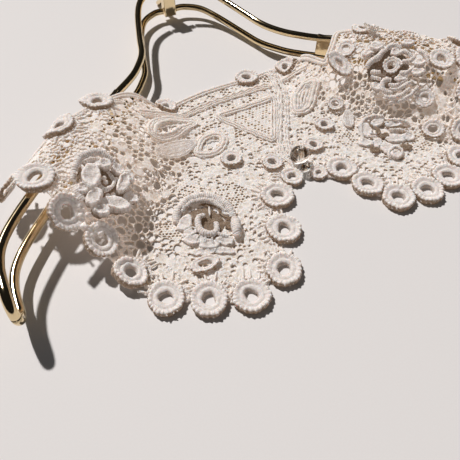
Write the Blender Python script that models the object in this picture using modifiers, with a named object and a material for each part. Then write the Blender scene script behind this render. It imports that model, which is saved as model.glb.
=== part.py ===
"""An Irish crochet lace collar, laid over a twin-rail brass hanger that lies on a table.

Sizes are in millimetres and become metres where a mesh is made. +X runs along the hanger, +Y to its hook,
+Z up, and the table is z = 0. The cloth follows one height field, so every motif, cord and ring is made flat
and then draped: its plan place keeps, and its height is measured out along the cloth's normal.
"""

import math
import random

import bmesh
import bpy
from mathutils import Matrix, Vector
from mathutils.geometry import intersect_point_line

MM = 0.001

# The hanger
ROD_RADIUS = 3.0
BLOCK_HALF = (6.0, 5.0, 15.5)
BLOCK_Z = 21.0
ROD_STEP = 18.0
# The right arm, from the block to where its two rails meet: plan x, plan y, lower and upper rail's height.
ARM = (
    (6.7, 116.0, 10.0, 32.0),
    (16.0, 115.2, 10.0, 32.0),
    (30.0, 105.5, 9.5, 31.0),
    (40.5, 86.0, 7.5, 28.5),
    (51.5, 50.0, 6.0, 26.0),
    (57.5, 28.0, 6.0, 25.0),
    (66.0, 13.0, 6.0, 24.0),
    (77.0, -1.0, 6.0, 24.0),
    (98.0, -20.0, 6.5, 24.5),
    (128.0, -55.0, 11.0, 33.5),
    (159.0, -90.0, 12.0, 35.0),
    (184.0, -118.0, 12.0, 35.0),
    (197.0, -137.0, 12.0, 35.0),
    (201.5, -153.0, 12.0, 35.0),
    (201.5, -170.0, 12.0, 35.0),
)
# A brass plate stands between the two rails where they go under the collar.
PLATE_HALF = (5.0, 1.4)
HOOK_RADIUS = 2.5
HOOK_BEND = 19.0
HOOK_STEM = ((0.0, 121.4, 20.0), (0.0, 127.0, 20.0), (0.0, 139.0, 9.5), (0.0, 150.0, 2.6))

# How the cloth tents over each arm and runs out flat on the table
CLEAR = 0.9
RIDGE_HALF = 7.0
FALL_INWARD = 68.0
FALL_OUTWARD = 40.0
FALL_AT_NECK = 32.0
NECK_Y, SHOULDER_Y = -20.0, -60.0
FIRST_UNDER_CLOTH = 8

# The cloth
CLOTH = 1.5
CELL = 8.0
JITTER = 0.8
BAR = 1.55
SEAM = 0.35
LIFT = 0.7
RIM = 11.2
RING_HOLE = 4.8
RING_THICK = 4.4

# Padded rings of the outer edge: plan x, plan y, outer radius
LEFT_EDGE = (
    (-3.0, -138.0, 8.0),
    (-22.0, -150.0, RIM),
    (-33.0, -178.0, RIM),
    (-49.0, -206.0, RIM),
    (-76.0, -214.0, RIM),
    (-100.0, -205.0, RIM),
    (-123.0, -193.0, RIM),
    (-137.0, -168.0, RIM),
    (-147.0, -145.0, RIM),
    (-162.0, -126.0, RIM),
    (-169.0, -101.0, RIM),
    (-187.5, -84.5, 10.2),
    (-144.0, -56.0, 10.5),
    (-113.0, -36.0, 10.5),
)
RIGHT_EDGE = (
    (17.0, -143.0, 6.2),
    (34.0, -147.0, 10.8),
    (42.0, -168.5, 10.8),
    (54.0, -188.5, RIM),
    (77.0, -192.0, RIM),
    (100.0, -188.0, RIM),
    (123.0, -177.0, RIM),
    (142.0, -158.0, RIM),
    (157.0, -138.0, RIM),
    (169.0, -115.0, RIM),
    (182.0, -94.0, RIM),
    (185.0, -69.0, 10.5),
    (160.0, -57.0, 10.5),
    (124.0, -38.0, 9.5),
)
NECK_RINGS = ((-58.0, -22.0, 9.5), (23.0, -14.0, 9.5), (62.0, -16.0, 9.5))
# Smaller rings that lie on the ground, each over a hole of its own
INNER_RINGS = (
    (-35.0, -102.0, 8.0),
    (-9.0, -119.0, 8.0),
    (29.0, -116.0, 7.5),
    (50.0, -99.0, 7.5),
    (71.0, -83.0, 7.0),
    (98.5, -51.5, 7.5),
    (128.0, -121.0, 7.5),
    (122.5, -143.5, 8.5),
)
INNER_THICK = 3.2

# The front edges meet on a line from the neck to the notch: plan x, plan y.
FRONT_LINE = ((46.0, -12.0), (41.0, -47.0), (8.5, -106.0), (8.5, -129.0))
LEFT_NECK = ((-90.0, -26.0), (-58.0, -22.0), (-20.0, -15.0), (23.0, -14.0))
RIGHT_NECK = ((62.0, -16.0), (92.0, -25.0))
LEFT_SHOULDER = (-170.0, -71.0)
RIGHT_SHOULDER = (141.0, -47.0)

# Raised motifs: plan x, plan y, outer radius
ROSE_LEFT = (-134.0, -115.0, 18.0)
ROSE_RIGHT = (115.0, -86.0, 18.0)
WHEEL = (-79.0, -150.0, 21.0)
FLOWER = (81.0, -128.0, 17.0)
WHEEL_GAP = 12.0
OVAL_RING = (-92.0, -181.0, 6.5)
# Closed cords round an opening: the cord's own points, then the points of the opening.
CRESCENT = ((-82.0, -66.0), (-74.0, -54.0), (-60.0, -48.0), (-46.0, -50.0), (-58.0, -57.0), (-70.0, -64.0))
CRESCENT_SLOT = ((-76.0, -62.5), (-69.0, -56.0), (-58.0, -51.5), (-60.0, -54.5), (-69.0, -60.5))
TEARDROP = ((-55.0, -84.0), (-46.0, -71.0), (-34.0, -70.0), (-30.0, -78.0), (-37.0, -87.0), (-47.0, -89.0))
TEARDROP_SLOT = ((-45.0, -80.0), (-39.0, -75.0), (-35.0, -78.0), (-40.0, -83.0))
SCROLL = ((39.0, -73.0), (47.0, -59.0), (59.0, -52.0), (67.0, -56.0), (59.0, -66.0), (48.0, -75.0))
SCROLL_SLOT = ((46.0, -69.0), (52.0, -61.0), (60.0, -57.0), (58.0, -62.0), (50.0, -70.0))
FAN = ((-24.0, -50.0), (32.0, -48.0), (5.0, -98.0))
SCROLL_CORD = 2.0
FAN_CORD = 1.7
LEFT_NECK_CORD = ((-86.0, -44.0), (-62.0, -38.0), (-20.0, -31.0), (20.0, -29.0), (37.0, -30.0))
RIGHT_NECK_CORD = ((50.0, -30.0), (64.0, -31.0), (80.0, -34.0))
NECK_CORD = 2.2
# Flat leaves: plan x, plan y, half length, half width, turn in degrees
LEAF_LEFT = (-78.0, -86.0, 13.0, 5.5, 35.0)
LEAF_RIGHT = (72.0, -101.0, 10.0, 4.5, 60.0)

# Cells of the ground that are open: plan x, plan y, inner and outer reach of the open mesh
OPEN_MESH = (
    (*ROSE_LEFT[:2], 25.0, 66.0),
    (*ROSE_RIGHT[:2], 22.0, 46.0),
    (-20.0, -168.0, 0.0, 34.0),
)
OPEN_SHARE = 0.62

# The fastening: plan x, plan y, radius, how far it is lifted off the cloth by the rings beside it
BUTTON = (9.5, -126.5, 7.2, 0.0)
BEAD = (8.2, -137.5, 3.7, 1.0)

LOBE_FRONT = -214.0 - RIM
HOOK_BACK = HOOK_STEM[-1][1] + HOOK_BEND * 2 + HOOK_RADIUS
PLAN_CENTRE_Y = (LOBE_FRONT + HOOK_BACK) / 2


def clear_scene():
    for obj in list(bpy.data.objects):
        bpy.data.objects.remove(obj, do_unlink=True)


def new_collection(name):
    made = bpy.data.collections.new(name)
    bpy.context.scene.collection.children.link(made)
    return made


def material(name, colour, roughness, metallic=0.0, transmission=0.0):
    made = bpy.data.materials.new(name)
    made.use_nodes = True
    shader = made.node_tree.nodes["Principled BSDF"]
    shader.inputs["Base Color"].default_value = (*colour, 1.0)
    shader.inputs["Roughness"].default_value = roughness
    shader.inputs["Metallic"].default_value = metallic
    shader.inputs["Transmission Weight"].default_value = transmission
    made.diffuse_color = (*colour, 1.0)
    return made


def smooth_line(points, step, closed=False):
    """Points about one step apart on a Catmull-Rom curve through the points given."""
    rows = [Vector(p) for p in points]
    count = len(rows)
    found = []
    for i in range(count if closed else count - 1):
        if closed:
            a, b, c, d = (rows[(i + k) % count] for k in (-1, 0, 1, 2))
        else:
            a, b, c, d = (rows[min(max(i + k, 0), count - 1)] for k in (-1, 0, 1, 2))
        pieces = max(1, round((c - b).length / step))
        for j in range(pieces):
            t = j / pieces
            found.append(
                0.5 * (2 * b + (c - a) * t + (2 * a - 5 * b + 4 * c - d) * t**2 + (3 * b - a - 3 * c + d) * t**3)
            )
    return found if closed else found + [rows[-1]]


def plan_curve(points, step, closed=True):
    return smooth_line([(*p, 0.0) for p in points], step, closed)


def rounded_line(points, radius):
    """A closed outline with each corner cut by two points, as a cord turns."""
    found = []
    count = len(points)
    for i, point in enumerate(points):
        here = Vector(point)
        for other in (points[i - 1], points[(i + 1) % count]):
            found.append(here + (Vector(other) - here).normalized() * radius)
        found.insert(len(found) - 1, here + (found[-1] + found[-2] - 2 * here) * 0.3)
    return found


UNDER_CLOTH = [(Vector((x, y, 0.0)), top) for x, y, _, top in ARM[FIRST_UNDER_CLOTH:]]


def height(x, y):
    """The underside of the cloth: a rounded ridge over each arm that eases down to the table on both sides."""
    here = Vector((abs(x), y, 0.0))
    nearest, inward, ridge = math.inf, True, 0.0
    for (a, a_top), (b, b_top) in zip(UNDER_CLOTH, UNDER_CLOTH[1:]):
        share = min(max(intersect_point_line(here, a, b)[1], 0.0), 1.0)
        place = a.lerp(b, share)
        away = (here - place).length
        if away < nearest:
            nearest = away
            inward = (b - a).cross(here - place).z < 0
            ridge = a_top + (b_top - a_top) * share + ROD_RADIUS + CLEAR
    neck = min(max((y - SHOULDER_Y) / (NECK_Y - SHOULDER_Y), 0.0), 1.0)
    fall = (FALL_INWARD + (FALL_AT_NECK - FALL_INWARD) * neck) if inward else FALL_OUTWARD
    s = min(max((nearest - RIDGE_HALF) / fall, 0.0), 1.0)
    return ridge * (1 - s) ** 2 * (1 + 2 * s)


def normal(x, y):
    reach = 2.0
    dx = (height(x + reach, y) - height(x - reach, y)) / (2 * reach)
    dy = (height(x, y + reach) - height(x, y - reach)) / (2 * reach)
    return Vector((-dx, -dy, 1.0)).normalized()


def drape(mesh, centre, lift, cutter=False):
    """Lays a flat-made mesh on the cloth round a centre, shortened in plan down the slope to keep its size."""
    cx, cy = centre
    n = normal(cx, cy)
    down = Vector((n.x, n.y))
    if down.length > 1e-6:
        down.normalize()
    for vertex in mesh.vertices:
        local = Vector((vertex.co.x, vertex.co.y))
        local += down * local.dot(down) * (n.z - 1)
        x, y = cx + local.x, cy + local.y
        vertex.co = Vector((x, y, height(x, y))) + normal(x, y) * (vertex.co.z + lift)
        if not cutter:
            vertex.co.z = max(vertex.co.z, 0.0)


def evaluated(obj):
    bpy.context.view_layer.update()
    graph = bpy.context.evaluated_depsgraph_get()
    return bpy.data.meshes.new_from_object(obj.evaluated_get(graph))


def finish(name, mesh, finish_material, smooth=True):
    """Turns a mesh in millimetres into a named object in metres, about the part's origin."""
    mesh.transform(Matrix.Translation((0.0, -PLAN_CENTRE_Y, 0.0)))
    mesh.transform(Matrix.Scale(MM, 4))
    work = bmesh.new()
    work.from_mesh(mesh)
    bmesh.ops.remove_doubles(work, verts=work.verts, dist=1e-6)
    bmesh.ops.recalc_face_normals(work, faces=work.faces)
    work.to_mesh(mesh)
    work.free()
    mesh.materials.clear()
    mesh.materials.append(finish_material)
    if smooth:
        mesh.shade_smooth()
    mesh.name = name
    obj = bpy.data.objects.new(name, mesh)
    PARTS.objects.link(obj)
    return obj


def discard(*objects):
    for obj in objects:
        bpy.data.objects.remove(obj, do_unlink=True)


def helper(mesh, name="helper"):
    obj = bpy.data.objects.new(name, mesh)
    obj.hide_render = True
    obj.display_type = "WIRE"
    CUTTERS.objects.link(obj)
    return obj


def mesh_of(build):
    """A mesh made by a function that fills a bmesh."""
    work = bmesh.new()
    build(work)
    mesh = bpy.data.meshes.new("shape")
    work.to_mesh(mesh)
    work.free()
    return mesh


def cylinder(radius, low, high, sides, place=(0.0, 0.0)):
    def build(work):
        bmesh.ops.create_cone(
            work,
            cap_ends=True,
            segments=sides,
            radius1=radius,
            radius2=radius,
            depth=high - low,
            matrix=Matrix.Translation((*place, (low + high) / 2)),
        )

    return mesh_of(build)


def ring(outer, hole, thick, around=10, section=6):
    """A padded ring on w = 0: a torus whose six-sided section has flat faces above and below."""
    half_width = (outer - hole) / 2
    bpy.ops.mesh.primitive_torus_add(
        major_radius=outer - half_width,
        minor_radius=half_width,
        major_segments=around,
        minor_segments=section,
    )
    obj = bpy.context.object
    mesh = obj.data.copy()
    discard(obj)
    flat_half = half_width * math.sin(math.pi / 3)
    for vertex in mesh.vertices:
        vertex.co.z = (vertex.co.z / flat_half + 1) * thick / 2
    return mesh


def tube(points, radius, closed, resolution=1):
    """A round cord through plan points (x, y, w), as a mesh."""
    curve = bpy.data.curves.new("cord", "CURVE")
    curve.dimensions = "3D"
    curve.bevel_depth = radius
    curve.bevel_resolution = resolution
    curve.use_fill_caps = True
    spline = curve.splines.new("POLY")
    spline.points.add(len(points) - 1)
    for point, place in zip(spline.points, points):
        point.co = (*place, 1.0)
    spline.use_cyclic_u = closed
    obj = bpy.data.objects.new("cord", curve)
    CUTTERS.objects.link(obj)
    mesh = evaluated(obj)
    discard(obj)
    work = bmesh.new()
    work.from_mesh(mesh)
    bmesh.ops.remove_doubles(work, verts=work.verts, dist=1e-3)
    bmesh.ops.recalc_face_normals(work, faces=work.faces)
    work.to_mesh(mesh)
    work.free()
    return mesh


def united(meshes):
    """One closed mesh from several that overlap."""
    first, *rest = [helper(mesh) for mesh in meshes]
    for other in rest:
        join = first.modifiers.new("join", "BOOLEAN")
        join.operation = "UNION"
        join.solver = "MANIFOLD"
        join.object = other
    mesh = evaluated(first)
    discard(first, *rest)
    drop_crumbs(mesh)
    return mesh


def petal(angle, root, length, half_width, rise, bend, cup, point=0.0):
    """A cupped petal on w = rise, bending up by an angle along its length: a shaped grid with a wall."""
    rows, columns = 3, 2

    def build(work):
        bmesh.ops.create_grid(work, x_segments=rows, y_segments=columns, size=0.5)
        for vertex in work.verts:
            u, v = vertex.co.x + 0.5, vertex.co.y * 2
            turn = math.radians(bend) * u
            arc = length / math.radians(bend)
            width = half_width * math.sin(math.pi * (0.2 + (0.62 + 0.3 * point) * u))
            out = root + arc * math.sin(turn)
            side = width * v
            up = rise + arc * (1 - math.cos(turn)) + cup * v * v * u
            vertex.co = (
                out * math.cos(angle) - side * math.sin(angle),
                out * math.sin(angle) + side * math.cos(angle),
                up,
            )

    obj = helper(mesh_of(build))
    wall = obj.modifiers.new("wall", "SOLIDIFY")
    wall.thickness = 1.5
    wall.offset = 0.0
    mesh = evaluated(obj)
    discard(obj)
    return mesh


def inside(x, y, outline):
    found = False
    for (ax, ay), (bx, by) in zip(outline, outline[1:] + outline[:1]):
        if (ay > y) != (by > y) and x < (bx - ax) * (y - ay) / (by - ay) + ax:
            found = not found
    return found


def edge_distance(x, y, outline):
    here = Vector((x, y, 0.0))
    found = math.inf
    for a, b in zip(outline, outline[1:] + outline[:1]):
        a, b = Vector((*a, 0.0)), Vector((*b, 0.0))
        share = intersect_point_line(here, a, b)[1]
        found = min(found, (here - a.lerp(b, min(max(share, 0.0), 1.0))).length)
    return found


def keeps_closed(x, y):
    """True where a cell of the ground carries a motif, a ring or a cord, and so isn't opened."""
    for cx, cy, radius in (ROSE_LEFT, ROSE_RIGHT, WHEEL, FLOWER, *INNER_RINGS, *LEFT_EDGE, *RIGHT_EDGE):
        if math.hypot(x - cx, y - cy) < radius + 6.5:
            return True
    return any(edge_distance(x, y, list(loop)) < 8 or inside(x, y, list(loop)) for loop in
               (CRESCENT, TEARDROP, SCROLL))


def prism(outline, low, high):
    """A wall that stands on an outline, as a cutter."""
    curve = bpy.data.curves.new("outline", "CURVE")
    curve.dimensions = "2D"
    curve.fill_mode = "BOTH"
    curve.extrude = (high - low) / 2
    spline = curve.splines.new("POLY")
    spline.points.add(len(outline) - 1)
    for point, place in zip(spline.points, outline):
        point.co = (place[0], place[1], 0.0, 1.0)
    spline.use_cyclic_u = True
    obj = bpy.data.objects.new("outline", curve)
    CUTTERS.objects.link(obj)
    mesh = evaluated(obj)
    discard(obj)
    mesh.transform(Matrix.Translation((0.0, 0.0, (low + high) / 2)))
    work = bmesh.new()
    work.from_mesh(mesh)
    bmesh.ops.remove_doubles(work, verts=work.verts, dist=1e-3)
    bmesh.ops.recalc_face_normals(work, faces=work.faces)
    work.to_mesh(mesh)
    work.free()
    return mesh


def drop_crumbs(mesh):
    """Keeps a mesh's largest piece, and drops the crumbs that cuts leave between two neighbouring rings."""
    work = bmesh.new()
    work.from_mesh(mesh)
    bmesh.ops.remove_doubles(work, verts=work.verts, dist=1e-4)
    unseen, pieces = set(work.faces), []
    while unseen:
        piece = [unseen.pop()]
        for face in piece:
            for other in (neighbour for edge in face.edges for neighbour in edge.link_faces):
                if other in unseen:
                    unseen.discard(other)
                    piece.append(other)
        pieces.append(piece)
    largest = max(pieces, key=len)
    bmesh.ops.delete(work, geom=[f for piece in pieces if piece is not largest for f in piece], context="FACES")
    work.to_mesh(mesh)
    work.free()


def ground(name, outline, cuts, seed):
    """A mesh ground: a grid on the height field, its open cells cut out, given a wall and trimmed."""
    chance = random.Random(seed)
    xs, ys = [p[0] for p in outline], [p[1] for p in outline]
    columns = math.ceil((max(xs) - min(xs)) / CELL) + 2
    rows = math.ceil((max(ys) - min(ys)) / CELL) + 2
    middle = ((max(xs) + min(xs)) / 2, (max(ys) + min(ys)) / 2)

    def build(work):
        bmesh.ops.create_grid(work, x_segments=columns, y_segments=rows, size=0.5)
        for vertex in work.verts:
            vertex.co.x = middle[0] + vertex.co.x * columns * CELL + chance.uniform(-JITTER, JITTER)
            vertex.co.y = middle[1] + vertex.co.y * rows * CELL + chance.uniform(-JITTER, JITTER)
        far, opened = [], []
        for face in work.faces:
            place = face.calc_center_median()
            within, near = inside(place.x, place.y, outline), edge_distance(place.x, place.y, outline)
            if not within and near > CELL:
                far.append(face)
            elif within and near > 9.0 and chance.random() < OPEN_SHARE and not keeps_closed(place.x, place.y):
                reach = [(math.hypot(place.x - x, place.y - y), low, high) for x, y, low, high in OPEN_MESH]
                if any(low < away < high for away, low, high in reach):
                    opened.append(face)
        bmesh.ops.delete(work, geom=far, context="FACES")
        bmesh.ops.inset_individual(work, faces=opened, thickness=BAR, use_even_offset=True)
        bmesh.ops.delete(work, geom=opened, context="FACES")
        for vertex in work.verts:
            vertex.co.z = height(vertex.co.x, vertex.co.y)
        print(name, len(opened), "open cells")

    obj = helper(mesh_of(build), name)
    wall = obj.modifiers.new("wall", "SOLIDIFY")
    wall.thickness = CLOTH
    wall.offset = 1.0
    cutters = []
    # Every shape here is closed, and the exact solver loses the panel at a ring that leans over the ridge.
    for cut in (prism(outline, -10.0, 70.0), *cuts):
        step = obj.modifiers.new("cut", "BOOLEAN")
        step.solver = "MANIFOLD"
        step.operation = "DIFFERENCE" if cutters else "INTERSECT"
        step.object = helper(cut)
        cutters.append(step.object)
    mesh = evaluated(obj)
    discard(obj, *cutters)
    drop_crumbs(mesh)
    return finish(name, mesh, COTTON, smooth=False)


def ring_cut(x, y, radius):
    cut = cylinder(radius, -8.0, 12.0, 16)
    drape(cut, (x, y), 0.0, cutter=True)
    return cut


def hole_cut(points):
    return prism(plan_curve(points, 5.0), -10.0, 70.0)


def make_grounds():
    front = list(FRONT_LINE)
    left = (
        [(x, y) for x, y in LEFT_NECK]
        + [(x - SEAM, y) for x, y in front]
        + [(x, y) for x, y, _ in LEFT_EDGE[:12]]
        + [LEFT_SHOULDER]
        + [(x, y) for x, y, _ in LEFT_EDGE[12:]]
    )
    right = (
        [(x + SEAM, y) for x, y in front]
        + [(x, y) for x, y, _ in RIGHT_EDGE[:13]]
        + [RIGHT_SHOULDER]
        + [(x, y) for x, y, _ in RIGHT_EDGE[13:]]
        + list(reversed(RIGHT_NECK))
    )
    spare = 0.6
    left_cuts = [ring_cut(x, y, r + spare) for x, y, r in (*LEFT_EDGE, *NECK_RINGS[:2])]
    left_cuts += [ring_cut(x, y, r * 0.45) for x, y, r in INNER_RINGS[:2]]
    left_cuts += [ring_cut(WHEEL[0], WHEEL[1], WHEEL_GAP), hole_cut(CRESCENT_SLOT), hole_cut(TEARDROP_SLOT)]
    right_cuts = [ring_cut(x, y, r + spare) for x, y, r in (*RIGHT_EDGE, NECK_RINGS[2])]
    right_cuts += [ring_cut(x, y, r * 0.45) for x, y, r in INNER_RINGS[2:]]
    right_cuts += [hole_cut(SCROLL_SLOT)]
    ground("ground_left", left, left_cuts, 11)
    ground("ground_right", right, right_cuts, 12)


def make_rings():
    for side, rows in (("left", LEFT_EDGE), ("right", RIGHT_EDGE), ("neck", NECK_RINGS)):
        for i, (x, y, outer) in enumerate(rows, 1):
            mesh = ring(outer, outer * RING_HOLE / RIM, RING_THICK * min(1.0, outer / RIM + 0.1))
            drape(mesh, (x, y), 0.0)
            finish(f"ring_{side}_{i:02d}", mesh, COTTON)
    for i, (x, y, outer) in enumerate(INNER_RINGS, 1):
        mesh = ring(outer, outer * 0.45, INNER_THICK, around=10)
        drape(mesh, (x, y), CLOTH + LIFT)
        finish(f"ring_inner_{i:02d}", mesh, COTTON)
    x, y, outer = OVAL_RING
    mesh = ring(outer, outer * 0.42, INNER_THICK, around=10)
    mesh.transform(Matrix.Diagonal((1.5, 0.9, 1.0, 1.0)))
    drape(mesh, (x, y), CLOTH + LIFT)
    finish("ring_oval", mesh, COTTON)


def make_rose(name, row, outer_petals, inner_petals, tallness):
    x, y, radius = row
    shapes = [cylinder(radius - 1.5, 0.0, 1.4, 16)]
    shapes.append(ring(radius, radius - 5.0, 4.2, around=14))
    for i in range(outer_petals):
        turn = 2 * math.pi * i / outer_petals + 0.3
        shapes.append(petal(turn, 4.5, radius * 0.62, radius * 0.36, 0.9, 70.0, 1.6 * tallness))
    for i in range(inner_petals):
        turn = 2 * math.pi * (i + 0.5) / inner_petals
        shapes.append(petal(turn, 2.5, radius * 0.5 * tallness, radius * 0.26, 0.9, 100.0, 1.2))
    mesh = united(shapes)
    drape(mesh, (x, y), CLOTH + LIFT)
    finish(name, mesh, COTTON, smooth=False)


def make_wheel():
    """A padded outer ring, spokes over a round opening, and a curled petal that turns up in its middle."""
    x, y, radius = WHEEL
    middle = 8.0
    shapes = [ring(radius, radius - 6.0, 4.2, around=16), ring(middle, middle - 3.6, 3.6, around=10)]
    spokes = 9
    for i in range(spokes):
        turn = 2 * math.pi * (i + 0.35) / spokes
        ends = [(r * math.cos(turn), r * math.sin(turn), 1.6) for r in (middle - 1.5, radius - 4.0)]
        shapes.append(tube(ends, 1.0, False))
    curl = [
        (5.6 * math.cos(a), 5.6 * math.sin(a), 4.0 + 3.0 * math.sin(a / 2))
        for a in [math.radians(20 + 26 * k) for k in range(11)]
    ]
    shapes.append(tube(curl, 2.0, False))
    mesh = united(shapes)
    drape(mesh, (x, y), CLOTH + LIFT)
    finish("wheel_rose", mesh, COTTON, smooth=False)


def make_flower():
    """Five pointed petals in a cord that turns three quarters round them."""
    x, y, radius = FLOWER
    shapes = [cylinder(7.0, 0.0, 1.9, 12)]
    for i in range(5):
        turn = 2 * math.pi * i / 5 + 0.2
        length, rise = radius * (0.7 + 0.02 * i), 1.0 + 0.13 * i
        shapes.append(petal(turn, 3.2, length, radius * 0.34, rise, 32.0, 1.4, point=1.0))
    arc = [
        ((radius - 2.0) * math.cos(a), (radius - 2.0) * math.sin(a), 2.0)
        for a in [math.radians(75 + 22 * k) for k in range(13)]
    ]
    shapes.append(tube(arc, 2.0, False))
    mesh = united(shapes)
    drape(mesh, (x, y), CLOTH + LIFT)
    finish("flower", mesh, COTTON, smooth=False)


def make_cord(name, line, radius, closed=True):
    """A cord along plan points that lies on the ground, each of its points moved out along the cloth's normal."""
    mesh = tube([(p[0], p[1], radius) for p in line], radius, closed)
    for vertex in mesh.vertices:
        x, y, w = vertex.co
        vertex.co = Vector((x, y, height(x, y))) + normal(x, y) * (w + CLOTH + LIFT)
    finish(name, mesh, COTTON)


def make_leaf(name, row):
    x, y, half_length, half_width, turn = row

    def build(work):
        bmesh.ops.create_uvsphere(work, u_segments=10, v_segments=6, radius=1.0)
        for vertex in work.verts:
            taper = 1 - 0.55 * vertex.co.x**2
            vertex.co = (
                vertex.co.x * half_length,
                vertex.co.y * half_width * taper,
                max(vertex.co.z, -0.5) * 1.3 + 0.65,
            )

    mesh = mesh_of(build)
    mesh.transform(Matrix.Rotation(math.radians(turn), 4, "Z"))
    drape(mesh, (x, y), CLOTH + LIFT)
    finish(name, mesh, COTTON)


def make_cords():
    make_cord("cord_neck_left", plan_curve(LEFT_NECK_CORD, 9.0, closed=False), NECK_CORD, closed=False)
    make_cord("cord_neck_right", plan_curve(RIGHT_NECK_CORD, 9.0, closed=False), NECK_CORD, closed=False)
    make_cord("scroll_crescent", plan_curve(CRESCENT, 7.0), SCROLL_CORD)
    make_cord("scroll_teardrop", plan_curve(TEARDROP, 7.0), SCROLL_CORD)
    make_cord("scroll_right", plan_curve(SCROLL, 7.0), SCROLL_CORD)
    make_cord("fan_border", rounded_line(FAN, 6.0), FAN_CORD)


def make_fastening():
    for name, (x, y, radius, lifted), sides in (("button_ball", BUTTON, 14), ("button_bead", BEAD, 10)):

        def build(work):
            centre = (x, y, height(x, y) + CLOTH + SEAM + radius + lifted)
            bmesh.ops.create_uvsphere(
                work, u_segments=sides, v_segments=sides // 2 + 1, radius=radius, matrix=Matrix.Translation(centre)
            )

        finish(name, mesh_of(build), GLASS)


def make_hanger():
    plan = smooth_line([(x, y, 0.0) for x, y, _, _ in ARM], ROD_STEP)
    lower = smooth_line([(x, y, low) for x, y, low, _ in ARM], ROD_STEP)
    upper = smooth_line([(x, y, high) for x, y, _, high in ARM], ROD_STEP)
    end = ARM[-1]
    bend = (end[3] - end[2]) / 2
    out = (plan[-1] - plan[-2]).normalized()
    turn = []
    for k in range(1, 7):
        a = -math.pi / 2 + math.pi * k / 7
        place = Vector((end[0], end[1], end[2] + bend)) + out * bend * math.cos(a)
        place.z += bend * math.sin(a)
        turn.append(place)
    route = lower + turn + list(reversed(upper))
    before, here, after = (Vector(ARM[FIRST_UNDER_CLOTH + k]) for k in (-1, 0, 1))
    heading = math.atan2(after.y - before.y, after.x - before.x)

    def plate(work):
        half_height = (here.w - here.z) / 2
        bmesh.ops.create_cube(work, size=2.0, matrix=Matrix.Diagonal((*PLATE_HALF, half_height, 1.0)))
        bmesh.ops.rotate(work, verts=work.verts, matrix=Matrix.Rotation(side * heading, 3, "Z"))
        bmesh.ops.translate(work, verts=work.verts, vec=(side * here.x, here.y, here.z + half_height))

    for name, side in (("hanger_rod_left", -1), ("hanger_rod_right", 1)):
        rails = tube([(side * p.x, p.y, p.z) for p in route], ROD_RADIUS, False, resolution=2)
        finish(name, united([rails, mesh_of(plate)]), BRASS)

    def block(work):
        bmesh.ops.create_cube(work, size=2.0, matrix=Matrix.Diagonal((*BLOCK_HALF, 1.0)))
        bmesh.ops.bevel(work, geom=work.edges, offset=0.8, segments=1, affect="EDGES")
        bmesh.ops.translate(work, verts=work.verts, vec=(0.0, ARM[0][1], BLOCK_Z))

    finish("hanger_block", mesh_of(block), BRASS, smooth=False)
    stem = smooth_line(HOOK_STEM, 6.0)
    back = HOOK_STEM[-1][1] + HOOK_BEND
    arc = [
        Vector((HOOK_BEND * math.cos(a), back + HOOK_BEND * math.sin(a), HOOK_STEM[-1][2]))
        for a in [math.radians(-90 + 20 * k) for k in range(1, 13)]
    ]
    mesh = tube(stem + arc, HOOK_RADIUS, False, resolution=2)
    finish("hanger_hook", mesh, BRASS)


clear_scene()
PARTS = new_collection("irish_crochet_collar")
CUTTERS = new_collection("cutters")
COTTON = material("cream cotton", (0.86, 0.81, 0.72), 0.85)
BRASS = material("polished brass", (0.78, 0.60, 0.30), 0.14, metallic=1.0)
GLASS = material("clear glass", (0.93, 0.92, 0.88), 0.05, transmission=0.9)

make_grounds()
make_rings()
make_rose("rose_left", ROSE_LEFT, 6, 3, 1.25)
make_rose("rose_right", ROSE_RIGHT, 5, 3, 1.1)
make_wheel()
make_flower()
make_cords()
make_leaf("leaf_left", LEAF_LEFT)
make_leaf("leaf_right", LEAF_RIGHT)
make_fastening()
make_hanger()
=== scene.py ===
# %% [markdown]
# # An Irish crochet lace collar on a brass hanger
#
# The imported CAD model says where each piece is. This lesson dresses it: every solid is replaced by the
# crochet, glass or brass that it stands for. All cotton is first made flat, in millimetres, with w as the
# height above the cloth, and is then laid on one shape that the whole collar shares.

import bmesh
import bpy
import numpy as np
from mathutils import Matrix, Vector
from mathutils.geometry import delaunay_2d_cdt


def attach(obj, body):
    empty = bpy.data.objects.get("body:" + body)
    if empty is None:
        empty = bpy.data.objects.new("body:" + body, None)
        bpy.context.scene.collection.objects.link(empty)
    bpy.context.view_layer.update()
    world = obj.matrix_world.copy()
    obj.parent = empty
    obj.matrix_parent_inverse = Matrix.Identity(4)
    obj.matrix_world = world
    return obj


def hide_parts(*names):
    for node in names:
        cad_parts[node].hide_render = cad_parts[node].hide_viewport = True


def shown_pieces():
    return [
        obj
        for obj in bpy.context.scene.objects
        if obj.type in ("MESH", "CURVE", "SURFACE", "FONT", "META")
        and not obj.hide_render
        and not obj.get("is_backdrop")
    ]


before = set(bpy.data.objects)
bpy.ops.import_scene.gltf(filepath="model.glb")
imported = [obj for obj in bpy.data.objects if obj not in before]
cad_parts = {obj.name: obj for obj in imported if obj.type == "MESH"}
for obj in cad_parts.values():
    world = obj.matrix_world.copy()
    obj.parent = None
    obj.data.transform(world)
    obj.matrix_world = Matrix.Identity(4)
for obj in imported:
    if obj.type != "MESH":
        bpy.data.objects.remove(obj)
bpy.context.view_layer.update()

# %% [markdown]
# ## The shape that the cloth takes
#
# On the real collar the lace lies flat on the table and rises over the two arms of the hanger. A cloth
# simulation could find such a shape, but every motif has to sit on it, so a height field is used: each
# point of the table has one height, worked out from its distance to the arm beneath. The same numbers are
# in the CAD.

# %% The cloth's height
MM = 0.001
PLAN_CENTRE_Y = -17.35
ROD_RADIUS, CLEAR = 3.0, 0.9
RIDGE_HALF, FALL_INWARD, FALL_OUTWARD, FALL_AT_NECK = 7.0, 68.0, 40.0, 32.0
NECK_Y, SHOULDER_Y = -20.0, -60.0
CLOTH, SEAM = 1.5, 0.35
LOWEST = 0.05
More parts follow.
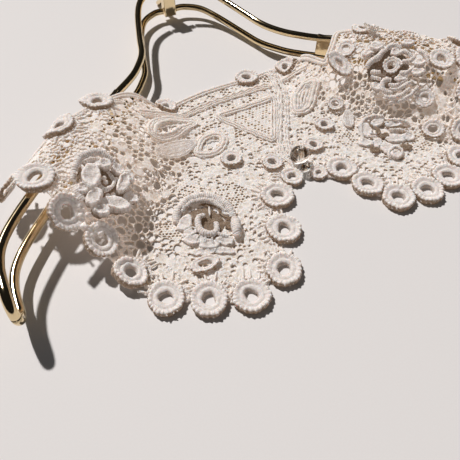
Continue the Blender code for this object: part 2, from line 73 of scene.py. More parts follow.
# One arm of the hanger: plan x, plan y, the lower and the upper rail's height.
ARM = np.array([
    (6.7, 116, 10, 32), (16, 115.2, 10, 32), (30, 105.5, 9.5, 31), (40.5, 86, 7.5, 28.5), (51.5, 50, 6, 26),
    (57.5, 28, 6, 25), (66, 13, 6, 24), (77, -1, 6, 24), (98, -20, 6.5, 24.5), (128, -55, 11, 33.5),
    (159, -90, 12, 35), (184, -118, 12, 35), (197, -137, 12, 35), (201.5, -153, 12, 35),
    (201.5, -170, 12, 35)])
PLATE = 8
UNDER_CLOTH = ARM[PLATE:]


def height(x, y):
    """The cloth's underside: ridge (1 - s)^2 (1 + 2 s), with s the way down from the flat top."""
    here = np.stack([np.abs(x), y], -1)
    nearest = np.full(np.shape(x), np.inf)
    inward, ridge = np.ones(np.shape(x), bool), np.zeros(np.shape(x))
    for a, b in zip(UNDER_CLOTH, UNDER_CLOTH[1:]):
        run = b[:2] - a[:2]
        share = np.clip(((here - a[:2]) @ run) / (run @ run), 0, 1)
        off = here - (a[:2] + share[..., None] * run)
        away = np.hypot(off[..., 0], off[..., 1])
        closer = away < nearest
        nearest = np.where(closer, away, nearest)
        inward = np.where(closer, run[0] * off[..., 1] - run[1] * off[..., 0] < 0, inward)
        ridge = np.where(closer, a[3] + (b[3] - a[3]) * share + ROD_RADIUS + CLEAR, ridge)
    neck = np.clip((y - SHOULDER_Y) / (NECK_Y - SHOULDER_Y), 0, 1)
    fall = np.where(inward, FALL_INWARD + (FALL_AT_NECK - FALL_INWARD) * neck, FALL_OUTWARD)
    s = np.clip((nearest - RIDGE_HALF) / fall, 0, 1)
    return ridge * (1 - s) ** 2 * (1 + 2 * s)


def unit(vectors):
    return vectors / np.linalg.norm(vectors, axis=-1, keepdims=True)


def normal(x, y, reach=2.0):
    """The cloth's upward normal, from the heights on each side of a point."""
    dx = (height(x + reach, y) - height(x - reach, y)) / (2 * reach)
    dy = (height(x, y + reach) - height(x, y - reach)) / (2 * reach)
    return unit(np.stack([-dx, -dy, np.ones_like(dx)], -1))


# %% Places on the cloth
UPHILL_LIMIT = -2.0


def metres(points):
    """Plan millimetres to the frame's metres."""
    return (points - [0.0, PLAN_CENTRE_Y, 0.0]) * MM


def over_cloth(points, lift=0.0):
    """A flat point (x, y, w) goes to the cloth's point over (x, y), plus w along the cloth's normal."""
    x, y, w = points.T
    laid = np.stack([x, y, height(x, y)], -1) + normal(x, y) * (w + lift)[..., None]
    laid[..., 2] = np.maximum(laid[..., 2], LOWEST)
    return laid


def lifted(lift):
    return lambda points: over_cloth(points, lift)


def lay_round(centre, lift, level=0.0):
    """For a motif made about its own middle: it is shortened down the slope, so that it keeps its size.

    The level share lifts its lower side off the slope.
    """
    n = normal(*centre[:2])
    down = n[:2] / max(np.hypot(*n[:2]), 1e-9)

    def place(points):
        flat = points[:, :2] + np.outer(points[:, :2] @ down, down) * (n[2] - 1)
        w = points[:, 2] + level * np.maximum(flat @ down, UPHILL_LIMIT)
        return over_cloth(np.column_stack([flat + centre[:2], w]), lift)

    return place


print("the cloth is", round(float(height(128.0, -55.0)), 1), "mm up over the middle of the arm")

# %% [markdown]
# ## Shapes as arrays
#
# A shape here is four things: its points, its faces, how much painted light each point has, which puts painted
# shade in the hollows between stitches and under parts, and where it is on its thread, which the thread's
# twist follows. The last is three numbers: the distance along the thread, the turn round it, and how strong
# the twist is.

# %% Shapes from points, grids and other shapes
def shape(points, faces, painted_light=1.0, thread=(0.0, 0.0, 0.0)):
    painted_light, *thread = (np.broadcast_to(v, (len(points),)).astype(float) for v in (painted_light, *thread))
    return points, faces, painted_light, np.stack(thread, -1)


def wrapped(grid, closed=False, painted_light=1.0, thread=(0.0, 0.0, 0.0)):
    """Rows of points that wrap round, with a face at each end unless the rows close on themselves."""
    rows, around = grid.shape[:2]
    i, j = np.arange(rows if closed else rows - 1)[:, None], np.arange(around)[None]
    k, m = (i + 1) % rows, (j + 1) % around
    faces = [np.stack([i * around + j, i * around + m, k * around + m, k * around + j], -1).reshape(-1, 4)]
    if not closed:
        faces += [j[:, ::-1], j + (rows - 1) * around]
    painted_light, *thread = (np.broadcast_to(v, (rows, around)).ravel() for v in (painted_light, *thread))
    return shape(grid.reshape(-1, 3), faces, painted_light, thread)


def joined(shapes):
    """Several shapes as one: each face's numbers move up by the number of points before its shape."""
    start = np.cumsum([0] + [len(s[0]) for s in shapes])
    faces = [block + first for s, first in zip(shapes, start) for block in s[1]]
    points, _, painted_light, thread = zip(*shapes)
    return np.vstack(points), faces, np.concatenate(painted_light), np.vstack(thread)


# %% Hand a shape over to the scene
SUN_WAY = (0.188, -0.758, -1.0)
SUN_UNIT = np.array(SUN_WAY) / np.linalg.norm(SUN_WAY)


def add_object(name, data):
    obj = bpy.data.objects.new(name, data)
    bpy.context.scene.collection.objects.link(obj)
    return obj


def turned_away(points):
    """How far the cloth is turned from the sun: level cloth's share of sunlight less its own."""
    return np.clip(normal(points[:, 0], points[:, 1]) @ SUN_UNIT - SUN_UNIT[2], 0, 1)


def as_made(points):
    return points


def hand_over(name, made, finish, node=None, place=as_made, slot="cotton", outward=True):
    """Makes one object of a shape, put in place, which rides on the frame and may stand for a CAD node."""
    points, faces, painted_light, thread = made
    placed = place(points)
    mesh = bpy.data.meshes.new(name)
    mesh.from_pydata(metres(placed).tolist(), [], [f for block in faces for f in block.tolist()])
    mesh.attributes.new("painted_light", "FLOAT", "POINT").data.foreach_set("value", painted_light)
    mesh.attributes.new("thread", "FLOAT_VECTOR", "POINT").data.foreach_set("vector", thread.ravel())
    # How far the cloth is turned from the sun sets the strength of the cotton's painted glow.
    if slot == "cotton":
        mesh.attributes.new("through", "FLOAT", "POINT").data.foreach_set("value", turned_away(placed))
    if outward:
        work = bmesh.new()
        work.from_mesh(mesh)
        bmesh.ops.recalc_face_normals(work, faces=work.faces)
        work.to_mesh(mesh)
        work.free()
    mesh.shade_smooth()
    mesh.materials.append(finish)
    obj = add_object(name, mesh)
    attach(obj, "root")
    if node:
        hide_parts(node)
    print(f"{name}: {len(points)} points")
    return obj


# %% Lines and tubes
def smooth_line(points, step, closed=False):
    """A Catmull-Rom curve: from each point to the next, the cubic whose slopes follow the points around."""
    p = np.asarray(points, float)
    ends = len(p) if closed else len(p) - 1
    index = np.arange(ends)[:, None] + np.arange(-1, 3)
    index = index % len(p) if closed else np.clip(index, 0, len(p) - 1)
    gaps = np.linalg.norm(p[index[:, 2]] - p[index[:, 1]], axis=1)
    pieces = np.maximum(1, np.round(gaps / step).astype(int))
    run = np.repeat(np.arange(ends), pieces)
    t = ((np.arange(len(run)) - np.repeat(np.cumsum(pieces) - pieces, pieces)) / pieces[run])[:, None]
    a, b, c, d = (p[index[run, k]] for k in range(4))
    line = 0.5 * (2 * b + (c - a) * t + (2 * a - 5 * b + 4 * c - d) * t**2 + (3 * b - a - 3 * c + d) * t**3)
    return line if closed else np.vstack([line, p[-1:]])


def flat_line(points, step, closed=False):
    line = smooth_line(points, step, closed)
    return np.column_stack([line, np.zeros(len(line))])


def way_along(line, closed):
    return np.roll(line, -1, 0) - np.roll(line, 1, 0) if closed else np.gradient(line, axis=0)


def beside(line, away, closed=False):
    """The same line moved sideways in plan."""
    step = way_along(line, closed)
    return line + away * unit(np.column_stack([step[:, 1], -step[:, 0], np.zeros(len(line))]))


def tube(line, radius, closed=False, sides=8, up=(0.0, 0.0, 1.0), pitch=0.0, relief=0.0, flat=1.0):
    """line(s) + r (cos a side + flat sin a over), with r = radius (1 + relief cos(2 pi s / pitch + a)).

    The pitch is rounded so that a whole number of stitches goes into the line.
    """
    tangent = unit(way_along(line, closed))
    side = unit(np.cross(tangent, np.broadcast_to(up, tangent.shape)))
    over = np.cross(side, tangent)
    gaps = np.linalg.norm(np.diff(np.vstack([line, line[:1]]), axis=0), axis=1)
    along = np.concatenate([[0], np.cumsum(gaps)[:-1]])[:, None]
    total = gaps.sum() if closed else along[-1, 0]
    stitches = max(1, round(total / pitch)) if pitch else 0
    a = -np.pi / 2 + 2 * np.pi * np.arange(sides) / sides
    wave = np.cos(2 * np.pi * stitches * along / total + a) if stitches else 0.0
    r = np.broadcast_to(radius, (len(line),))[:, None] * (1 + relief * wave)
    out = np.cos(a)[:, None] * side[:, None] + flat * np.sin(a)[:, None] * over[:, None]
    # Painted shade in the hollow of each stitch along the tube.
    painted_light = 0.82 + 0.18 * wave if stitches else 1.0
    return wrapped(line[:, None] + r[..., None] * out, closed, painted_light, (along, a, 1.0))


# %% Changes to a shape
SINES_TOGETHER = 1.7


def lumpy(points, amount, size, seed):
    """Handwork is never even: each point moves by three slow sine waves along every axis."""
    chance = np.random.default_rng(seed)
    waves, start = chance.normal(0, 2 * np.pi / size, (9, 3)), chance.uniform(0, 2 * np.pi, 9)
    return points + amount / SINES_TOGETHER * np.sin(points @ waves.T + start).reshape(-1, 3, 3).sum(1)


def uneven(made, amount, size, seed):
    return (lumpy(made[0], amount, size, seed), *made[1:])


def painted_darker(made, share):
    """The same shape, painted darker as shade."""
    return (*made[:2], made[2] * share, made[3])


def moved(made, by):
    return (made[0] + by, *made[1:])


def stretched(made, x, y):
    return (made[0] * [x, y, 1.0], *made[1:])


def cos_sin(degrees):
    return np.cos(np.radians(degrees)), np.sin(np.radians(degrees))


def turned(made, degrees):
    """A shape turned about its own middle."""
    c, s = cos_sin(degrees)
    return (made[0] @ np.array([[c, s, 0], [-s, c, 0], [0, 0, 1]]), *made[1:])


def tipped(made, degrees, bearing, by):
    """A shape tipped up by some degrees, with its high side at a bearing, then moved."""
    c, s = cos_sin(degrees)
    points, *rest = turned(made, -bearing)
    return moved(turned((points @ np.array([[c, 0, s], [0, 1, 0], [-s, 0, c]]), *rest), bearing), by)


# %% Small balls and rounds of points
def polar(reach, angle, w):
    return reach * np.cos(angle), reach * np.sin(angle), w


def arc(reach, first, last, w, number):
    """Points along an arc, from one bearing to another."""
    a = np.radians(np.linspace(first, last, number))
    return np.column_stack(polar(reach, a, np.full(number, w)))


def balls(centres, radii, squash=0.8):
    """A small sphere of 24 faces at each centre: three rounds of six points and two poles."""
    a, up = np.linspace(0, 2 * np.pi, 6, endpoint=False), np.array([-0.62, 0.0, 0.62])[:, None]
    body = np.stack(np.broadcast_arrays(*polar(np.sqrt(1 - up**2), a, up)), -1)
    one = np.vstack([body.reshape(-1, 3), [(0, 0, -1), (0, 0, 1)]]) * [1, 1, squash]
    j, k = np.arange(6), (np.arange(6) + 1) % 6
    quads = np.vstack([np.stack([j + r, k + r, k + r + 6, j + r + 6], -1) for r in (0, 6)])
    tris = np.vstack([np.stack([k, j, np.full(6, 18)], -1), np.stack([j + 12, k + 12, np.full(6, 19)], -1)])
    first = (np.arange(len(centres)) * len(one))[:, None, None]
    points = centres[:, None] + one[None] * np.broadcast_to(radii, (len(centres),))[:, None, None]
    faces = [(quads[None] + first).reshape(-1, 4), (tris[None] + first).reshape(-1, 3)]
    return shape(points.reshape(-1, 3), faces, 0.95)


print("one small ball has", len(balls(np.zeros((1, 3)), 1.0)[0]), "points")

# %% [markdown]
# ## Cotton, brass and glass
#
# Crochet cotton is matt and cream. Up close it is a twisted thread with loose fibres, and in the hollows of
# the stitches it looks ochre, because the light that gets there has passed through thread. Here that look is
# painted: painted shade in the hollows, and a painted glow that is strongest where the cloth is turned from
# the sun. One node group gives these to every cotton piece: the colour follows the painted light and shade
# that each shape carries, and the height follows the thread. Brass has a group of its own, and glass a
# painted dark reflection and a painted glow.

# %% Node helpers
def feed(tree, node, inputs):
    """Gives each named input a value, or a link from another node's output."""
    for key, value in inputs.items():
        if isinstance(value, bpy.types.NodeSocket):
            tree.links.new(value, node.inputs[key])
        else:
            node.inputs[key].default_value = value


def wire(tree, kind, inputs=None, **settings):
    node = tree.nodes.new(kind)
    for key, value in settings.items():
        setattr(node, key, value)
    feed(tree, node, inputs or {})
    return node


def math_node(tree, operation, *values):
    return wire(tree, "ShaderNodeMath", dict(enumerate(values)), operation=operation).outputs[0]


def scale_add(tree, value, scale, add):
    """value scale + add, where each may be a number or a node's output."""
    return math_node(tree, "ADD", math_node(tree, "MULTIPLY", value, scale), add)


def vector_node(tree, operation, inputs):
    return wire(tree, "ShaderNodeVectorMath", inputs, operation=operation).outputs["Vector"]


def mixed(tree, share, a, b):
    inputs = {"Factor": share, "A": a, "B": b}
    return wire(tree, "ShaderNodeMix", inputs, data_type="RGBA", clamp_factor=True).outputs["Result"]


def attribute(tree, name, output="Fac"):
    return wire(tree, "ShaderNodeAttribute", attribute_name=name).outputs[output]


def own_place(tree):
    return wire(tree, "ShaderNodeTexCoord").outputs["Object"]


def noise(tree, scale, detail, roughness=0.5):
    inputs = {"Vector": own_place(tree), "Scale": scale, "Detail": detail, "Roughness": roughness}
    return wire(tree, "ShaderNodeTexNoise", inputs).outputs["Fac"]


def node_group(name, inputs, outputs):
    """A group with its named inputs and their first values, and its named outputs."""
    made = bpy.data.node_groups.new(name, "ShaderNodeTree")
    for label, value in inputs.items():
        kind = "NodeSocketColor" if isinstance(value, tuple) else "NodeSocketFloat"
        made.interface.new_socket(label, in_out="INPUT", socket_type=kind).default_value = value
    for label, kind in outputs.items():
        made.interface.new_socket(label, in_out="OUTPUT", socket_type=kind)
    return made, made.nodes.new("NodeGroupInput").outputs, made.nodes.new("NodeGroupOutput")


def new_finish(name):
    """A material, its node tree and its shader."""
    made = bpy.data.materials.new(name)
    made.use_nodes = True
    return made, made.node_tree, made.node_tree.nodes["Principled BSDF"]


# %% The crochet cotton group
FIBRE_SCALE, TONE_SCALE, STITCH_SCALE = 1500.0, 70.0, 620.0
WHOLE_TURN = 6.2832
# Tints of the painted glow: one over all the cotton, and one where it is painted in shade.
PAINTED_GLOW_TINT, PAINTED_HOLLOW_GLOW_TINT = (1.0, 0.91, 0.845), (1.45, 1.12, 0.78)


def make_cotton_group():
    # Light is the cotton's own colour, and the second colour is the painted shade of its hollows.
    tree, into, out = node_group(
        "crochet cotton",
        {"Light": (0.93, 0.88, 0.80, 1), "Painted Shade": (0.52, 0.40, 0.24, 1), "Twist": 1.1, "Painted Glow Gain": 3.0},
        {"Color": "NodeSocketColor", "Glow": "NodeSocketColor", "Height": "NodeSocketFloat"})
    fibre = noise(tree, FIBRE_SCALE, 3.0, 0.6)
    tone = noise(tree, TONE_SCALE, 2.0)
    thread = wire(tree, "ShaderNodeSeparateXYZ", {"Vector": attribute(tree, "thread", "Vector")}).outputs
    run = math_node(tree, "DIVIDE", thread["X"], into["Twist"])
    turn = scale_add(tree, run, WHOLE_TURN, thread["Y"])
    twist = math_node(tree, "MULTIPLY", math_node(tree, "SINE", turn), thread["Z"])
    # Every worked face is small stitches, a millimetre or so apart, with painted shade in the line round each
    # one.
    cells = {"Vector": own_place(tree), "Scale": STITCH_SCALE, "Randomness": 0.75}
    stitch = wire(tree, "ShaderNodeTexVoronoi", cells, feature="F1").outputs["Distance"]
    painted_stitch_shade = math_node(tree, "MULTIPLY", math_node(tree, "SUBTRACT", 0.45, stitch), 0.38)
    grain = scale_add(tree, math_node(tree, "SUBTRACT", fibre, 0.5), 0.25, painted_stitch_shade)
    # The colour goes from the painted shade colour to the cotton's own by each point's painted light, with the
    # fibres and the stitches' painted shade.
    light = math_node(tree, "ADD", attribute(tree, "painted_light"), grain)
    colour = mixed(tree, light, into["Painted Shade"], into["Light"])
    toned = vector_node(tree, "SCALE", {0: colour, "Scale": scale_add(tree, tone, 0.12, 0.94)})
    # Painted glow, for light that has come through the threads: warmer all over, stronger where the cloth is
    # turned from the sun, and ochre where the painted shade is.
    painted_glow_base = vector_node(tree, "MULTIPLY", {0: toned, 1: PAINTED_GLOW_TINT})
    painted_glow_gain = scale_add(tree, attribute(tree, "through"), into["Painted Glow Gain"], 1.0)
    painted_glow = vector_node(tree, "SCALE", {0: painted_glow_base, "Scale": painted_glow_gain})
    painted_hollow_glow = vector_node(tree, "MULTIPLY", {0: into["Painted Shade"], 1: PAINTED_HOLLOW_GLOW_TINT})
    hollow = math_node(tree, "SUBTRACT", math_node(tree, "MULTIPLY", fibre, 0.6),
                       math_node(tree, "MULTIPLY", stitch, 1.3))
    feed(tree, out, {"Color": toned, "Glow": mixed(tree, light, painted_hollow_glow, painted_glow),
                     "Height": scale_add(tree, twist, 0.35, hollow)})
    return tree


COTTON_GROUP = make_cotton_group()
print("the cotton group has", len(COTTON_GROUP.nodes), "nodes")

# %% The four cottons
# A cotton: its own colour, the colour of its painted shade, its twist, its relief, and how strong its painted
# glow is where it is turned from the sun.
def cotton(name, light, painted_shade_colour, twist=1.1, relief=0.5, through=3.0):
    made, tree, shader = new_finish(name)
    group = wire(tree, "ShaderNodeGroup", node_tree=COTTON_GROUP)
    feed(tree, group, {"Light": (*light, 1), "Painted Shade": (*painted_shade_colour, 1), "Twist": twist, "Painted Glow Gain": through})
    bump = wire(tree, "ShaderNodeBump",
                {"Strength": 0.6, "Distance": relief * MM, "Height": group.outputs["Height"]})
    # The emission is the painted glow, and the base colour carries painted shade.
    feed(tree, shader, {
        "Base Color": group.outputs["Color"], "Normal": bump.outputs["Normal"], "Roughness": 0.9,
        "Emission Color": group.outputs["Glow"], "Emission Strength": 0.11, "Specular IOR Level": 0.15,
        "Sheen Weight": 0.08, "Sheen Roughness": 0.6})
    # Light spreads a millimetre or two through the threads, the red part of it farthest.
    feed(tree, shader, {"Subsurface Weight": 0.85, "Subsurface Radius": (1.0, 0.80, 0.66),
                        "Subsurface Scale": 2.2 * MM})
    return made


# Each cotton's second colour is its painted shade, darkest for the motifs' hollows, and the net has the
# strongest painted glow.
NET_COTTON = cotton("cotton_net", (0.81, 0.76, 0.73), (0.52, 0.395, 0.27), relief=0.4, through=5.2)
RING_COTTON = cotton("cotton_padded", (0.81, 0.765, 0.74), (0.34, 0.26, 0.20), through=2.0)
MOTIF_COTTON = cotton("cotton_motif", (0.81, 0.765, 0.74), (0.22, 0.165, 0.12), through=1.8)
CORD_COTTON = cotton("cotton_cord", (0.82, 0.775, 0.745), (0.60, 0.50, 0.42), twist=0.9)

# %% Brass and glass
SMEAR_SCALE, SPECK_SCALE, MIST_SCALE = 60.0, 700.0, 300.0


def make_metal_group():
    tree, into, out = node_group(
        "handled metal", {"Clean": (0.85, 0.66, 0.38, 1), "Dulled": (0.55, 0.38, 0.18, 1), "Gloss": 0.10},
        {"Color": "NodeSocketColor", "Roughness": "NodeSocketFloat"})
    smear = noise(tree, SMEAR_SCALE, 5.0)
    spots = math_node(tree, "GREATER_THAN", noise(tree, SPECK_SCALE, 2.0), 0.68)
    share = scale_add(tree, smear, 0.35, math_node(tree, "MULTIPLY", spots, 0.4))
    feed(tree, out, {"Color": mixed(tree, share, into["Clean"], into["Dulled"]),
                     "Roughness": scale_add(tree, smear, 0.12, into["Gloss"])})
    return tree


def make_brass():
    made, tree, shader = new_finish("polished_brass")
    group = wire(tree, "ShaderNodeGroup", node_tree=make_metal_group())
    feed(tree, group, {"Clean": (0.86, 0.70, 0.44, 1), "Dulled": (0.58, 0.41, 0.20, 1), "Gloss": 0.05})
    feed(tree, shader, {"Base Color": group.outputs["Color"], "Roughness": group.outputs["Roughness"],
                        "Metallic": 1.0})
    return made


def make_glass():
    """The colour of its flanks is a painted dark reflection, and its thread's first number is a painted glow
    where the ball would focus the sun's light.
    """
    made, tree, shader = new_finish("clear_glass")
    painted_caustic_share = wire(tree, "ShaderNodeSeparateXYZ", {"Vector": attribute(tree, "thread", "Vector")})
    painted_dark_reflection = mixed(tree, attribute(tree, "painted_light"), (0.05, 0.035, 0.025, 1), (0.96, 0.95, 0.93, 1))
    painted_caustic_colour = mixed(tree, painted_caustic_share.outputs["X"], (0.0, 0.0, 0.0, 1), (1.0, 0.97, 0.93, 1))
    mist = math_node(tree, "MULTIPLY", noise(tree, MIST_SCALE, 2.0), 0.06)
    feed(tree, shader, {"Transmission Weight": 1.0, "IOR": 1.5, "Roughness": mist, "Base Color": painted_dark_reflection,
                        "Emission Color": painted_caustic_colour, "Emission Strength": 1.5})
    return made


BRASS, GLASS = make_brass(), make_glass()
finishes = (NET_COTTON, RING_COTTON, MOTIF_COTTON, CORD_COTTON, BRASS, GLASS)
print("finishes:", ", ".join(m.name for m in finishes))

# %% [markdown]
# ## Where the pieces of the collar are
#
# These are the CAD's own places, in plan millimetres: the padded rings of the edge, the smaller rings that
# lie on the mesh, the raised motifs, and the corded shapes round their slots. A ring is its x, y and radius.

# %% Places
RIM = 11.2
LEFT_EDGE = np.array([
    (-3, -138, 8), (-22, -150, RIM), (-33, -178, RIM), (-49, -206, RIM), (-76, -214, RIM), (-100, -205, RIM),
    (-123, -193, RIM), (-137, -168, RIM), (-147, -145, RIM), (-162, -126, RIM), (-169, -101, RIM),
    (-187.5, -84.5, 10.2), (-144, -56, 10.5), (-113, -36, 10.5)])
RIGHT_EDGE = np.array([
    (17, -143, 6.2), (34, -147, 10.8), (42, -168.5, 10.8), (54, -188.5, RIM), (77, -192, RIM),
    (100, -188, RIM), (123, -177, RIM), (142, -158, RIM), (157, -138, RIM), (169, -115, RIM), (182, -94, RIM),
    (185, -69, 10.5), (160, -57, 10.5), (124, -38, 9.5)])
NECK_RINGS = np.array([(-58, -22, 9.5), (23, -14, 9.5), (62, -16, 9.5)])
INNER_RINGS = np.array([
    (-35, -102, 8), (-9, -119, 8), (29, -116, 7.5), (50, -99, 7.5), (71, -83, 7), (98.5, -51.5, 7.5),
    (128, -121, 7.5), (122.5, -143.5, 8.5)])
OVAL_RING = (-92, -181, 6.5)
ROSE_LEFT, ROSE_RIGHT, WHEEL, FLOWER = (-134, -115), (115, -86), (-79, -150), (81, -128)
FRONT_LINE = [(46, -12), (41, -47), (8.5, -106), (8.5, -129)]
LEFT_NECK, RIGHT_NECK = [(-90, -26), (-58, -22), (-20, -15), (23, -14)], [(62, -16), (92, -25)]
LEFT_SHOULDER, RIGHT_SHOULDER = (-170, -71), (141, -47)
FAN = [(-24, -50), (32, -48), (5, -98)]
CRESCENT = [(-82, -66), (-74, -54), (-60, -48), (-46, -50), (-58, -57), (-70, -64)]
CRESCENT_SLOT = [(-76, -62.5), (-69, -56), (-58, -51.5), (-60, -54.5), (-69, -60.5)]
TEARDROP = [(-55, -84), (-46, -71), (-34, -70), (-30, -78), (-37, -87), (-47, -89)]
TEARDROP_SLOT = [(-45, -80), (-39, -75), (-35, -78), (-40, -83)]
SCROLL = [(39, -73), (47, -59), (59, -52), (67, -56), (59, -66), (48, -75)]
SCROLL_SLOT = [(46, -69), (52, -61), (60, -57), (58, -62), (50, -70)]
LEFT_NECK_CORD = [(-86, -44), (-62, -38), (-20, -31), (20, -29), (37, -30)]
RIGHT_NECK_CORD = [(50, -30), (61, -32), (71, -36)]
# The lace leaves the arm's plate bare at its corner.
BARE_CORNER = [(70, -5), (72.5, -24.5), (76.5, -35.5), (79.5, -43.5), (84, -47), (88, -43), (94, -38),
               (105, -28), (105, -5)]


def middles(rings):
    return [tuple(ring[:2]) for ring in rings]


LEFT_OUTLINE = [*LEFT_NECK, *((x - SEAM, y) for x, y in FRONT_LINE), *middles(LEFT_EDGE[:12]), LEFT_SHOULDER,
                *middles(LEFT_EDGE[12:])]
RIGHT_OUTLINE = [*((x + SEAM, y) for x, y in FRONT_LINE), *middles(RIGHT_EDGE[:13]), RIGHT_SHOULDER,
                 *middles(RIGHT_EDGE[13:]), *RIGHT_NECK[::-1]]
print("outlines:", len(LEFT_OUTLINE), "and", len(RIGHT_OUTLINE), "corners")

# %% [markdown]
# ## The mesh ground
#
# Between the motifs of Irish crochet runs a filling of chains and small knots, large and uneven round the
# roses, fine and even elsewhere. Threads could be drawn one by one, but a net is easier as cells: points are
# spread over the cloth, each gets the cell of places nearest to it, and each cell is holed. What is left
# between the holes is the net. The points come from rows of different pitch, so each part gets its own
# stitch.

# %% Rows of points
ROW_RISE = 0.866
ROUNDS_REACH = 150.0


def inside(x, y, outline):
    """True where a line from the point to the right crosses the outline an odd number of times."""
    found = np.zeros(np.shape(x), bool)
    for (ax, ay), (bx, by) in zip(outline, [*outline[1:], outline[0]]):
        if ay != by:
            found ^= ((ay > y) != (by > y)) & (x < (bx - ax) * (y - ay) / (by - ay) + ax)
    return found


def lattice(pitch, turn, stretch, jitter, seed, box):
    """Rows of points, each half a pitch on from the last, turned, stretched along the rows and jittered."""
    reach = np.linalg.norm(box[1] - box[0]) / 2 + 3 * pitch * stretch
    along, up = int(reach / pitch / stretch), int(reach / pitch)
    i, j = np.meshgrid(np.arange(-along, along + 1), np.arange(-up, up + 1))
    flat = np.stack([(i + 0.5 * (j % 2)) * stretch, j * ROW_RISE], -1).reshape(-1, 2) * pitch
    flat = flat + np.random.default_rng(seed).uniform(-jitter, jitter, flat.shape) * pitch
    c, s = cos_sin(turn)
    return flat @ np.array([[c, s], [-s, c]]) + (box[0] + box[1]) / 2


def rounds(centre, pitch, stretch, jitter, seed):
    """Rows of points in circles about a motif, each row half a pitch on, spaced along it by the stretch."""
    chance = np.random.default_rng(seed)
    radius = pitch * np.arange(1, int(ROUNDS_REACH / pitch))
    number = np.maximum(6, np.round(2 * np.pi * radius / (pitch * stretch))).astype(int)
    row = np.repeat(np.arange(len(radius)), number)
    place = np.arange(number.sum()) - np.repeat(np.cumsum(number) - number, number)
    out = pitch * chance.uniform(-jitter, jitter, len(row))
    r = radius[row] * (1 + 0.02 * np.sin(3 * place * 2 * np.pi / number[row])) + out
    on = stretch * chance.uniform(-jitter, jitter, len(row))
    a = (place + 0.5 * (row % 2) + on) * 2 * np.pi / number[row]
    return np.stack([r * np.cos(a), r * np.sin(a)], -1) + centre


def spread(zones, seed, box):
    """Each zone's points, less those in a zone listed before it, and the number of each point's zone."""
    rows, kinds = [], []
    for k, (where, pitch, turn, stretch, jitter, *_) in enumerate(zones):
        if isinstance(turn, tuple):
            p = rounds(turn, pitch, stretch, jitter, seed + k)
        else:
            p = lattice(pitch, turn, stretch, jitter, seed + k, box)
        mine = where(*p.T)
        for zone in zones[:k]:
            mine &= ~zone[0](*p.T)
        rows.append(p[mine])
        kinds.append(np.full(mine.sum(), k))
    return np.vstack(rows), np.concatenate(kinds)


# %% Cells of the net
THREAD_TOP, THREAD_EDGE, NET_WALL = 1.0, 0.70, 0.85
KNOT_RISE, WALL_OFFSET, CUT_LEVEL = 0.35, -0.6, 0.7
# A cell smaller than this many bars has no hole. This share of the shut cells are dimples, and all of them
# are where the rows are this even.
SMALL_CELL, DIMPLES, EVEN_JITTER = 1.35, 0.68, 0.17
DIMPLE_DROP, HUMP_MOST = -0.35, 0.3


def net_cells(points):
    """Each point's cell: the middles of the triangles round it, in order of their bearing."""
    made = delaunay_2d_cdt([Vector(p) for p in points.tolist()], [], [], 0, 1e-5)
    points, tri = np.array([tuple(v) for v in made[0]]), np.array(made[2])
    source = np.array([rows[0] for rows in made[3]])
    corners = points[tri].mean(1)
    owner, corner = tri.ravel(), np.repeat(np.arange(len(tri)), 3)
    away = corners[corner] - points[owner]
    order = np.lexsort((np.arctan2(away[:, 1], away[:, 0]), owner))
    owner, corner, away = owner[order], corner[order], away[order]
    first = np.flatnonzero(np.r_[True, owner[1:] != owner[:-1]])
    count = np.diff(np.r_[first, len(owner)])
    following = np.arange(len(owner)) + 1
    following[first + count - 1] = first
    return points, source, corners, owner, corner, away, first, count, following


